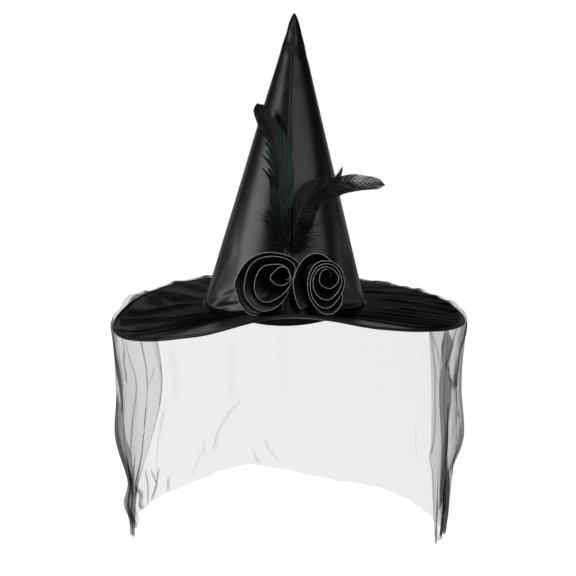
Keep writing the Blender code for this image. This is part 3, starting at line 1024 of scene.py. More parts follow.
LAYER_PANELS = (
    Panel((0.0, 0.0, 0.0), (0.5, 0.42, 0.3), (-1.0, -0.4, 0.0), 2.0),
    Panel((0.0, 0.0, 0.0), (0.34, 0.3, 0.2), (0.0, 0.3, 0.6), 0.8),
    Panel((3.4, 3.5, 3.5, 3.45, 3.45), (3.75, 3.95, 3.85, 3.7, 3.62), (0.0, 0.14, 0.22, 0.3, 0.42), 11.0),
    Panel((3.8, 3.1, 2.7, 2.6), (4.3, 4.3, 4.3, 4.3), (0.36, 0.5, 0.6, 0.76), 4.6),
    Panel((3.9, 3.9), (4.5, 4.4), (-0.02, 0.14), 6.0),
    Panel((0.0, 0.0, 0.0), (4.4, 4.4, 4.4), (0.66, 0.75, 0.82), 0.8),
    Panel((1.6, 1.9, 2.2), (4.5, 4.5, 4.5), (0.76, 0.88, 0.97), 2.6),
    Panel((4.1, 4.2, 4.3), (7.9, 7.8, 7.6), (-0.37, -0.32, -0.27), 10.0),
    Panel((21.3, 20.5, 20.8, 20.28, 20.28, 20.55, 20.15, 20.0),
          (21.5, 21.7, 21.4, 21.5, 21.5, 21.4, 21.3, 21.1),
          (0.0, 0.08, 0.16, 0.25, 0.36, 0.52, 0.75, 1.0), 7.0),
    Panel((20.6, 20.65, 20.15, 20.0), (21.0, 21.3, 21.3, 21.2), (0.38, 0.57, 0.75, 1.0), 4.0),
    Panel((20.6, 20.4, 20.7), (21.1, 21.4, 21.2), (0.82, 0.9, 0.98), -9.0),
    Panel((19.1, 19.1, 19.6), (20.0, 20.1, 20.0), (0.0, 0.06, 0.13), 4.5),
    Panel((18.4, 18.3, 18.6), (19.4, 19.3, 19.2), (0.0, 0.3, 0.7), 0.8),
    Panel((19.3, 19.4, 19.3, 19.0), (20.2, 20.2, 20.2, 20.0), (0.14, 0.3, 0.5, 0.7), 1.4),
)

CREASES = (
    # On the brim, left: from the foot of the crown out to the edge
    Crease((0.9, 1.2, 2.0, 3.1), (-0.9, -0.68, -0.5, -0.12), 0.18, 18.0, 2.2),
    Crease((0.5, 0.7, 1.2, 1.9), (-0.85, -0.6, -0.4, -0.1), 0.12, 12.0, 1.6),
    Crease((2.2, 2.6, 3.5, 4.1), (-0.95, -0.78, -0.64, -0.32), 0.18, 18.0, 2.2),
    Crease((1.5, 2.1, 2.9), (-0.9, -0.62, -0.45), 0.12, 10.0, 1.6),
    Crease((4.5, 4.4, 4.7), (-1.0, -0.7, -0.4), 0.18, 18.0, 2.4),
    Crease((5.2, 6.0, 6.5, 6.5), (-1.0, -0.77, -0.6, -0.38), 0.26, 18.0, 2.4),
    Crease((6.1, 5.6, 4.9), (-0.4, -0.6, -0.72), 0.16, 12.0, 1.8),
    Crease((7.2, 7.7, 7.6), (-1.0, -0.6, -0.1), 0.20, 9.0, 1.6),
    Crease((8.6, 8.4, 8.7), (-1.0, -0.6, -0.1), 0.20, 9.0, 1.6),
    # On the brim, right
    Crease((13.3, 13.6, 13.8), (-0.9, -0.6, -0.3), 0.22, 2.0, 1.3),
    Crease((14.2, 14.5, 14.9), (-0.9, -0.5, -0.2), 0.14, 2.0, 1.2),
    Crease((15.3, 15.9, 16.3), (-0.9, -0.6, -0.3), 0.20, 2.0, 1.6),
    Crease((16.5, 16.8, 17.2), (-0.9, -0.6, -0.3), 0.10, 2.0, 0.9),
    Crease((17.1, 17.4, 18.0), (-0.9, -0.6, -0.3), 0.20, 2.0, 1.6),
    Crease((18.6, 18.5, 19.2), (-0.8, -0.4, -0.2), 0.12, 2.0, 1.2),
    Crease((19.4, 19.2, 19.3), (-0.9, -0.6, -0.2), 0.10, 2.0, 0.9),
    Crease((20.3, 19.9, 19.8), (-0.9, -0.6, -0.3), 0.18, 2.0, 1.4),
    Crease((21.0, 20.7, 20.4), (-0.9, -0.6, -0.3), 0.10, 2.0, 0.9),
    Crease((21.7, 21.4, 20.9), (-0.9, -0.4, -0.2), 0.16, 2.0, 1.3),
    # Hanging, left side
    Crease((0.06, 0.06, 0.05, 0.06), (-1.0, 0.0, 0.6, 1.0), 0.05, 2.6),
    Crease((0.06, 0.04, 0.08), (0.12, 0.24, 0.33), 0.07, 3.0, 1.2),
    Crease((2.3, 2.6, 2.95, 3.0), (0.0, 0.06, 0.14, 0.24), 0.045, 5.0, 0.8),
    Crease((2.9, 3.1, 3.3, 3.25), (0.0, 0.07, 0.16, 0.3), 0.05, 4.0, 0.8),
    Crease((2.15, 2.5, 2.5, 2.65, 2.75), (0.02, 0.12, 0.2, 0.36, 0.6), 0.05, 4.0, 0.8),
    Crease((0.95, 1.05, 1.25, 1.42, 1.4, 1.0, 0.9, 1.0), (0.0, 0.13, 0.22, 0.3, 0.42, 0.55, 0.64, 0.76),
           0.055, 5.0, 1.2),
    Crease((0.5, 0.8, 1.2), (0.13, 0.18, 0.23), 0.05, 2.2, 0.6),
    Crease((1.5, 1.4, 1.6), (0.32, 0.5, 0.68), 0.05, 2.0, 0.6),
    Crease((4.05, 4.05, 4.05), (0.0, 0.4, 0.8), 0.08, 4.0, 0.0),
    Crease((3.1, 3.3, 3.2), (0.3, 0.5, 0.72), 0.06, 3.0, 0.8),
    Crease((4.1, 3.9, 4.0), (0.46, 0.58, 0.68), 0.6, 0.0, 4.5, 0.11),
    Crease((3.9, 3.9, 3.9), (0.84, 0.88, 0.92), 1.0, 0.0, 11.0, 0.08),
    Crease((1.9, 2.1, 2.0), (0.6, 0.72, 0.8), 0.05, 3.0, 0.6),
    Crease((1.2, 1.3, 1.6), (0.78, 0.88, 1.0), 0.10, 3.4, 0.8),
    Crease((3.0, 2.6, 2.4), (0.8, 0.9, 1.0), 0.10, 3.0, 0.8),
    # Hanging, behind the left side
    Crease((7.15, 6.95, 6.7, 6.4), (0.6, 0.7, 0.8, 0.9), 0.05, 1.6, 0.8),
    Crease((6.8, 6.5, 6.05), (0.87, 0.93, 1.0), 0.045, 9.0, 2.0),
    Crease((6.2, 6.5), (0.86, 0.94), 0.04, 5.0, 0.8),
    Crease((7.25, 7.2), (0.93, 0.99), 0.04, 3.0, 0.8),
    Crease((5.7, 5.9, 5.6), (0.84, 0.92, 1.0), 0.06, 3.6, 2.0),
    Crease((4.95, 5.2, 5.1, 5.2), (0.88, 0.93, 0.97, 1.0), 0.08, 8.0, 1.0),
    # Across the back
    Crease((9.65, 9.4, 9.1, 8.9), (0.66, 0.70, 0.775, 0.88), 0.045, 1.6, 1.6),
    Crease((8.4, 8.1), (0.87, 0.97), 0.04, 1.0, 0.8),
    Crease((8.55, 8.5), (0.81, 0.88), 0.04, 1.0, 0.8),
    Crease((10.1, 10.25), (0.93, 0.99), 0.04, 1.2, 0.8),
    Crease((10.4, 10.5, 10.8), (0.86, 0.91, 0.97), 0.04, 1.2, 1.0),
    Crease((7.5, 7.6), (0.28, 0.55), 0.12, 0.35, 1.0),
    Crease((9.35, 9.4), (0.35, 0.65), 0.10, 0.3, 1.0),
    Crease((10.85, 10.8), (0.25, 0.6), 0.12, 0.2, 1.0),
    Crease((15.3, 15.4, 15.6), (0.64, 0.7, 0.78), 0.05, 0.9, 0.8),
    Crease((13.2, 13.9, 14.9), (0.97, 0.95, 0.96), 0.2, 0.3, 0.6),
    # Hanging, right side
    Crease((22.42, 22.2, 22.25, 22.42), (0.0, 0.2, 0.45, 0.6), 0.06, 3.6, 0.6),
    Crease((22.42, 22.42, 22.4), (0.59, 0.62, 0.65), 0.3, 0.0, -3.4, 0.05),
    Crease((22.42, 22.4, 22.42), (0.66, 0.8, 1.0), 0.06, 2.4, 0.6),
    Crease((22.35, 22.1, 21.85, 21.5), (0.02, 0.08, 0.14, 0.2), 0.06, 3.0, 0.8),
    Crease((22.2, 22.1, 21.95), (0.15, 0.2, 0.27), 0.05, 1.4, 0.5),
    Crease((20.4, 20.9, 21.2), (0.0, 0.11, 0.17), 0.07, 5.0, 1.0),
    Crease((21.2, 20.8, 20.3), (0.16, 0.2, 0.26), 0.07, 5.0, 1.0),
    Crease((19.3, 19.35, 19.85, 20.1), (0.0, 0.06, 0.14, 0.28), 0.15, 14.0, 1.6),
    Crease((20.1, 19.9, 19.4), (0.26, 0.33, 0.45), 0.08, 5.0, 1.0),
    Crease((20.0, 19.7, 19.5, 19.7), (0.4, 0.5, 0.62, 0.72), 0.06, 4.0, 0.8),
    Crease((19.3, 19.4, 19.8), (0.5, 0.6, 0.74), 0.06, 3.0, 0.8),
    Crease((18.85, 18.7, 18.75, 18.9), (0.0, 0.2, 0.45, 0.75), 0.10, 4.5, 0.0),
    Crease((20.7, 20.78, 20.6), (0.36, 0.57, 0.76), 0.18, 21.0, 1.0),
    Crease((20.5, 20.4), (0.74, 0.9), 0.14, 11.0, 1.0),
    Crease((21.6, 21.55, 21.5, 21.3), (0.05, 0.2, 0.4, 0.7), 0.05, 5.0, 0.6),
    Crease((18.8, 19.0, 19.4), (0.48, 0.60, 0.72), 0.8, 0.3, 6.5, 0.16),
    Crease((19.8, 20.0, 20.0), (0.70, 0.82, 0.95), 0.6, 0.0, 3.6, 0.1),
    Crease((21.9, 21.8, 21.6), (0.8, 0.9, 1.0), 0.07, 3.0, 0.8),
    Crease((17.6, 17.8, 18.0), (0.1, 0.35, 0.6), 0.07, 1.4, 0.8),
)

LOOPS = (
    Loop(4.55, 0.25, 1.6), Loop(5.62, 0.42, 6.5), Loop(6.3, 0.2, 3.0), Loop(13.2, 0.22, 1.8),
    Loop(14.0, 0.40, 2.6), Loop(15.35, 0.22, 3.0), Loop(16.3, 0.18, 1.6), Loop(17.0, 0.28, 3.0),
    Loop(17.7, 0.3, 2.0),
)


@dataclass
class TulleSheet:
    """One gathered sheet from the foot of the crown, over the brim's edge and down, open in front."""

    brim: Brim
    flat_width: float = 1080.0
    flat_length: float = 370.0
    flat_brim: float = 108.0    # of the flat length, on the brim
    shoulder_height: float = -75.0
    waist_height: float = -150.0
    neck_height: float = -208.0
    fold_onset: float = 0.25
    fold_start: float = 0.55    # share of a fold's depth near the edge, and what the drop adds to it
    fold_growth: float = 0.45
    columns: int = 760
    brim_rows: int = 32
    veil_rows: int = 96
    ruffle: float = 0.5
    streaks: float = 0.4        # how unevenly the gathers pile up
    panel_fade: float = 0.03
    panel_edge: float = 0.03
    rim_line: float = 1.6       # layers that the bend over the edge adds to the eye
    rim_drop: float = -0.035
    rim_width: float = 0.02
    column_shares: tuple[float, ...] = (0.0, 0.28, 0.72, 1.0)
    column_pleats: tuple[float, ...] = (0.0, 4.8, 17.8, 22.5)
    gather_drops: tuple[float, ...] = (-1.0, -0.34, -0.22, 0.0, 0.5, 1.0)
    gather_names: tuple[str, ...] = ("foot", "brim", "edge", "edge", "waist", "hem")
    crossings: tuple[Crossing, ...] = (
        Crossing(0.04, 1.9, 0.0, 0.0), Crossing(0.35, 1.9, 0.0, 0.3),
        Crossing(0.65, 1.9, 0.0, 0.3), Crossing(0.88, 2.3, 0.0, 0.4),
        Crossing(0.97, 3.1, 0.0, 1.0), Crossing(1.0, 1.6, 1.6, 0.6),
    )
    gathers: tuple[Gather, ...] = (
        Gather(0.0, 5, 1.2, 1.3, 1.4, 1.4), Gather(1.3, 5, 1.0, 1.2, 1.3, 1.6),
        Gather(2.6, 5, 1.0, 1.4, 1.8, 1.6), Gather(3.4, 5, 1.0, 2.0, 2.0, 1.6),
        Gather(4.2, 5, 1.0, 2.0, 2.0, 1.6), Gather(5.0, 4, 1.0, 1.1, 1.5, 1.4),
        Gather(6.3, 4, 1.0, 1.0, 1.0, 1.0), Gather(8.0, 7, 2.5, 1.0, 1.0, 1.0),
        Gather(12, 20, 17.0, 1.0, 1.0, 1.0), Gather(16.8, 23, 20.0, 1.3, 1.2, 1.1),
        Gather(17.8, 24, 20.0, 2.2, 1.6, 1.3), Gather(19, 24, 21.0, 2.6, 2.2, 1.8),
        Gather(20, 24, 22.0, 2.4, 2.2, 2.0), Gather(21.6, 24, 22.0, 2.2, 2.4, 3.0),
        Gather(22.5, 22, 14.0, 2.2, 2.2, 2.4),
    )

    def pleats(self) -> np.ndarray:
        """Pleat of each column, closer together in the two groups of folds at the front."""
        shares = np.linspace(0, 1, self.columns)
        return np.interp(shares, self.column_shares, self.column_pleats)

    def fold(self, name: str, pleat: np.ndarray) -> np.ndarray:
        """A column of the table of folds, read at any place along the sheet."""
        return smooth(column(FOLDS, "pleat"), column(FOLDS, name), pleat)

    def over_brim(self, pleat: np.ndarray, share: np.ndarray) -> np.ndarray:
        """Tulle on the brim: share 0 is at the foot of the crown and 1 at the edge.

        Each row lies at the share of the brim's width, the height and the reach that the crossings give, and
        stands up in a small ruffle, in the loops and in the creases' ridges.

        Args:
            pleat: place along the sheet.
            share: place down the sheet.

        Returns:
            Points, (..., 3).
        """
        keys = np.linspace(0, 1, len(self.crossings))
        out, lift, reach, puff_share = (
            smooth(keys, column(self.crossings, name), share) for name in ("out", "lift", "reach", "puff")
        )
        foot_turn, turn = self.fold("foot_turn", pleat), self.fold("turn", pleat)
        loops = self.ruffle * (1 + wander(pleat, 17, (0.9, 1.7, 3.1)))
        for loop in LOOPS:
            loops = loops + loop.height * hump(pleat, loop.pleat, loop.width)
        puff = puff_share * loops
        ridges = self.ridges(pleat, share - 1) * ease(share, 0.02, 0.2)
        swell = ease(share, 0.8, 1.0) * (puff + ridges)
        azimuth = -(foot_turn + out * (turn - foot_turn))
        return self.brim.point(azimuth, out, lift + puff + np.maximum(ridges, 0.0), reach + swell)

    def hanging(self, pleat: np.ndarray, share: np.ndarray) -> np.ndarray:
        """Tulle below the edge: share 0 is at the edge and 1 at the hem.

        Each column falls through its places at the shoulder, waist, neck and hem, and the folds swell
        outwards and inwards by a cosine of the pleat.

        Args:
            pleat: place along the sheet.
            share: place down the sheet.

        Returns:
            Points, (rows, columns, 3).
        """
        start = self.over_brim(pleat[0], np.ones_like(pleat[0]))
        hem_z = self.fold("hem_z", pleat[0])
        height = start[:, 2] + share * (hem_z - start[:, 2])
        heights = (self.shoulder_height, self.waist_height, self.neck_height)
        levels = [np.full_like(hem_z, -level) for level in heights]
        keys = np.stack([-start[:, 2], *levels, -hem_z])
        names = ("shoulder", "waist", "neck", "hem")
        tables = (
            [start[:, axis]] + [self.fold(f"{name}_{letter}", pleat[0]) for name in names]
            for axis, letter in enumerate("xy")
        )
        x, y = (smooth(keys, np.stack(table), -height) for table in tables)
        crest = 0.5 + 0.5 * np.cos(2 * math.pi * pleat)
        depth = self.fold("fold", pleat) * np.minimum(1.0, share / self.fold_onset)
        depth = depth * (self.fold_start + self.fold_growth * share)
        in_edge = self.ridges(pleat[0], np.zeros_like(pleat[0])) * (1 - ease(share, 0.0, 0.1))
        depth = depth * (crest - 0.5) + self.ridges(pleat, share) - in_edge
        outward = unit(np.stack([x - self.brim.shift, y, np.zeros_like(x)], axis=-1))
        return np.stack([x, y, height], axis=-1) + outward * depth[..., None]

    def crease_lines(self, pleat: np.ndarray, drop: np.ndarray) -> list[tuple[Crease, np.ndarray]]:
        """Each crease and how strong it is at a place: a bell across it that fades in and out at its ends.

        Args:
            pleat: place along the sheet.
            drop: place down the sheet, from -1 to 1.

        Returns:
            The creases with their strengths, from 0 to 1.
        """
        lines = []
        for crease in CREASES:
            order = np.argsort(crease.drops)
            drops, pleats = np.array(crease.drops)[order], np.array(crease.pleats)[order]
            line = smooth(drops, pleats, np.clip(drop, drops[0], drops[-1]))
            shown = ease(drop, drops[0] - crease.fade, drops[0] + crease.fade)
            hidden = ease(drop, drops[-1] - crease.fade, drops[-1] + crease.fade)
            lines.append((crease, hump(pleat, line, crease.width) * (shown - hidden)))
        return lines

    def ridges(self, pleat: np.ndarray, drop: np.ndarray) -> np.ndarray:
        """How far the creases stand out."""
        return sum(crease.ridge * strength for crease, strength in self.crease_lines(pleat, drop))

    def layers(self, pleat: np.ndarray, drop: np.ndarray) -> np.ndarray:
        """Layers of net at a place, where drop is -1 at the crown, 0 at the edge and 1 at the hem.

        The gathers are read at six drops and blended between them. Panels and creases add theirs, and the
        streaks make what lies over the first layer uneven.

        Args:
            pleat: place along the sheet.
            drop: place down the sheet, from -1 to 1.

        Returns:
            The number of layers, which needn't be whole.
        """
        keys = column(self.gathers, "pleat")
        count = sum(
            np.interp(pleat, keys, column(self.gathers, name)) * np.interp(drop, self.gather_drops, share)
            for name, share in zip(self.gather_names, np.eye(len(self.gather_drops)))
        )
        for panel in LAYER_PANELS:
            down = np.clip(drop, panel.drops[0], panel.drops[-1])
            low, high = (np.interp(down, panel.drops, edge) for edge in (panel.low, panel.high))
            inside = ease(pleat - low, -self.panel_edge, self.panel_edge)
            inside = inside - ease(pleat - high, -self.panel_edge, self.panel_edge)
            shown = ease(drop, panel.drops[0] - self.panel_fade, panel.drops[0] + self.panel_fade)
            hidden = ease(drop, panel.drops[-1] - self.panel_fade, panel.drops[-1] + self.panel_fade)
            count = count + panel.layers * inside * (shown - hidden)
        for crease, strength in self.crease_lines(pleat, drop):
            count = count + crease.layers * strength
        count = count + self.rim_line * hump(drop, self.rim_drop, self.rim_width)
        line = pleat + 0.05 * wander(drop, 19, (1.1, 2.3))
        streaks = 1 + self.streaks * wander(line, 23, (2.3, 3.9, 6.1, 8.7))
        return 1 + np.maximum(count - 1, -0.2) * streaks

    def build(self, finish: Tulle) -> None:
        """Args:
            finish: the net.
        """
        line = self.pleats()
        on_brim = np.linspace(0, 1, self.brim_rows, endpoint=False)
        up_share, up_pleat = np.meshgrid(on_brim, line, indexing="ij")
        down_share, down_pleat = np.meshgrid(np.linspace(0, 1, self.veil_rows), line, indexing="ij")
        points = np.concatenate([self.over_brim(up_pleat, up_share), self.hanging(down_pleat, down_share)])
        pleat = np.concatenate([up_pleat, down_pleat])
        drop = np.concatenate([up_share - 1, down_share])
        edge_share = self.flat_brim / self.flat_length
        along = np.concatenate([up_share * edge_share, edge_share + down_share * (1 - edge_share)])
        uv = np.stack([pleat / line[-1], along], axis=-1)
        patch = Patch(points, uv, marks={"layers": self.layers(pleat, drop)})
        net = finish.material((self.flat_width, self.flat_length))
        piece = make_piece("tulle_sheet", [patch], [net], ("brim_tulle", "veil"))


# Ribbon roses

class Rim(NamedTuple):
    """A place on the free rim of a rose's ribbon, at an angle of its winding in degrees."""

    angle: float
    x: float
    y: float
    z: float


@dataclass
class RibbonRose:
    """Rose rolled from one satin ribbon, whose gathered foot winds out on the crown."""

    name: str
    crown: Crown
    foot: tuple[float, float]
    rims: tuple[Rim, ...]
    seed: int
    foot_growth: float          # per turn
    thickness: float = 0.6
    foot_radius: float = 3.5
    foot_gap: float = 1.3
    flare: float = 1.6
    rise: float = 0.85
    pucker_depth: float = 1.3
    soft_depth: float = 1.2
    rows: int = 26
    steps_per_turn: int = 110
    selvedge_radius: float = 0.34

    def place(self, angle: np.ndarray, share: np.ndarray) -> np.ndarray:
        """Ribbon at an angle of its winding, from its gathered foot (share 0) to its rim (share 1).

        The foot is a spiral on the crown. The ribbon leaves it straight out and then spreads to its rim: its
        depth follows the share to the power of the rise, and its spread the share to that of the flare. Half
        the angle between a rim's neighbours over its sine is the swing, which bends the rim like a circle.

        Args:
            angle: of the winding, in degrees.
            share: place across the ribbon.

        Returns:
            Points, (..., 3).
        """
        keys = column(self.rims, "angle")
        gaps = np.concatenate([[keys[1] - keys[0]], keys[2:] - keys[:-2], [keys[-1] - keys[-2]]])
        half = np.radians(gaps / 2)
        round_swing = half / np.sin(half)
        rim_x, rim_z = (smooth(keys, column(self.rims, axis), angle, round_swing) for axis in "xz")
        rim_y = smooth(keys, column(self.rims, "y"), angle)
        turn = np.radians(angle)
        radius = self.foot_radius + self.foot_growth * angle / 360
        x = self.foot[0] + radius * np.cos(turn)
        z = self.foot[1] + radius * np.sin(turn)
        y = self.crown.front(x, z, self.foot_gap)
        spread, depth = share ** self.flare, share ** self.rise
        puckers = wander(angle / 360, self.seed, (9, 14, 21, 33)) * np.sin(math.pi * share) ** 1.2
        soft = wander(angle / 360, self.seed + 1, (4, 7)) * np.sin(math.pi * share)
        ruffle = self.pucker_depth * puckers + self.soft_depth * soft
        return np.stack([
            x + spread * (rim_x - x) + ruffle * np.cos(turn),
            y + depth * (rim_y - y),
            z + spread * (rim_z - z) + ruffle * np.sin(turn),
        ], axis=-1)

    def build(self, ribbon: bpy.types.Material, thread: bpy.types.Material) -> None:
        """Make the ribbon and the woven edge along its rim.

        Args:
            ribbon: finish of the ribbon.
            thread: finish of its edge, whose near-white colour is a painted highlight.
        """
        last = self.rims[-1].angle
        columns = int(self.steps_per_turn * (last - self.rims[0].angle) / 360)
        wound = np.linspace(self.rims[0].angle, last, columns)
        share, angle = np.meshgrid(np.linspace(0, 1, self.rows), wound, indexing="ij")
        points = self.place(angle, share)
        cloth = make_piece(f"{self.name}_ribbon", [Patch(points, even_uv(self.rows, columns))], [ribbon],
                           (self.name,))
        wall = cloth.modifiers.new("wall", "SOLIDIFY")
        wall.thickness = self.thickness * MM
        wall.offset = 0.0
        ends = np.minimum(np.arange(columns), np.arange(columns)[::-1])
        radius = self.selvedge_radius * np.clip(ends / 2, 0.0, 1.0)
        edge = tube(points[-1], radius, np.array([0.0, 1.0, 0.0]), 8)
        # The woven edge's tube carries the painted highlight.
        selvedge_highlight = make_piece(f"{self.name}_selvedge", [edge], [thread], solid=True)


LEFT_ROSE_RIMS = (
    Rim(315, 2, -99, 42), Rim(360, 6, -101, 46), Rim(405, 3, -102, 55), Rim(450, -4, -103, 57),
    Rim(495, -10, -104, 53), Rim(540, -15, -104, 46), Rim(585, -11, -104, 40), Rim(630, -4, -104, 37),
    Rim(675, 4, -103, 40),
    Rim(720, 7, -102, 46), Rim(765, 2, -103, 57), Rim(810, -10, -103, 60), Rim(855, -25, -104, 56),
    Rim(900, -32, -104, 40), Rim(945, -30, -104, 26), Rim(990, -21, -105, 19), Rim(1035, -8, -105, 23),
    Rim(1080, 5, -103, 35), Rim(1125, 11, -99, 58), Rim(1170, -9, -99, 68), Rim(1215, -33, -99, 62),
    Rim(1260, -43, -99, 40), Rim(1305, -40, -101, 21), Rim(1350, -24, -103, 9), Rim(1395, -6, -103, 15),
    Rim(1440, 6, -98, 32), Rim(1485, 16, -92, 58), Rim(1530, -9, -93, 71), Rim(1575, -36, -92, 65),
    Rim(1620, -53, -90, 41), Rim(1665, -51, -92, 23), Rim(1710, -46, -95, 12), Rim(1755, -38, -99, 5),
    Rim(1790, -28, -101, 3),
)
RIGHT_ROSE_RIMS = (
    Rim(315, 43, -80, 39), Rim(360, 50, -86, 43), Rim(405, 49, -94, 51), Rim(450, 44, -100, 54),
    Rim(495, 40, -100, 51), Rim(540, 38, -101, 45), Rim(585, 39, -101, 38), Rim(630, 45, -101, 34),
    Rim(675, 52, -101, 34),
    Rim(720, 59, -101, 43), Rim(765, 54, -101, 53), Rim(810, 44, -101, 57), Rim(855, 35, -102, 52),
    Rim(900, 31, -103, 40), Rim(945, 35, -103, 27), Rim(990, 46, -103, 21), Rim(1035, 57, -101, 28),
    Rim(1080, 62, -99, 42), Rim(1125, 56, -99, 56), Rim(1170, 44, -100, 60), Rim(1215, 33, -101, 54),
    Rim(1260, 28, -103, 39), Rim(1305, 32, -104, 21), Rim(1350, 45, -104, 12), Rim(1395, 58, -101, 21),
    Rim(1440, 65, -97, 39), Rim(1485, 59, -97, 57), Rim(1530, 44, -98, 63), Rim(1575, 31, -100, 57),
    Rim(1620, 25, -103, 38), Rim(1665, 31, -104, 17), Rim(1710, 47, -104, 5), Rim(1755, 61, -98, 14),
    Rim(1800, 62, -90, 34), Rim(1845, 54, -88, 57), Rim(1890, 37, -92, 70), Rim(1935, 20, -99, 64),
    Rim(1980, 10, -106, 43), Rim(2025, 13, -108, 21), Rim(2060, 19, -107, 10),
)


# Feathers

class Shaft(NamedTuple):
    """A place on a feather's shaft, and how far the vane spreads to each side of it."""

    x: float
    y: float
    z: float
    left: float
    right: float


class Split(NamedTuple):
    """A gap between barbs: its side, its place along the shaft's table, its width there and its depth."""

    side: int
    place: float
    width: float
    depth: float


class Tuft(NamedTuple):
    """Barbs that cling together to a point outside the vane: side, first and last roots, and the point."""

    side: int
    start: float
    end: float
    x: float
    z: float


class Down(NamedTuple):
    """Fluffy barbs near a feather's foot: their side, first and last roots, longest length and lean."""

    side: int
    start: float
    end: float
    length: float
    lean: float = 0.5


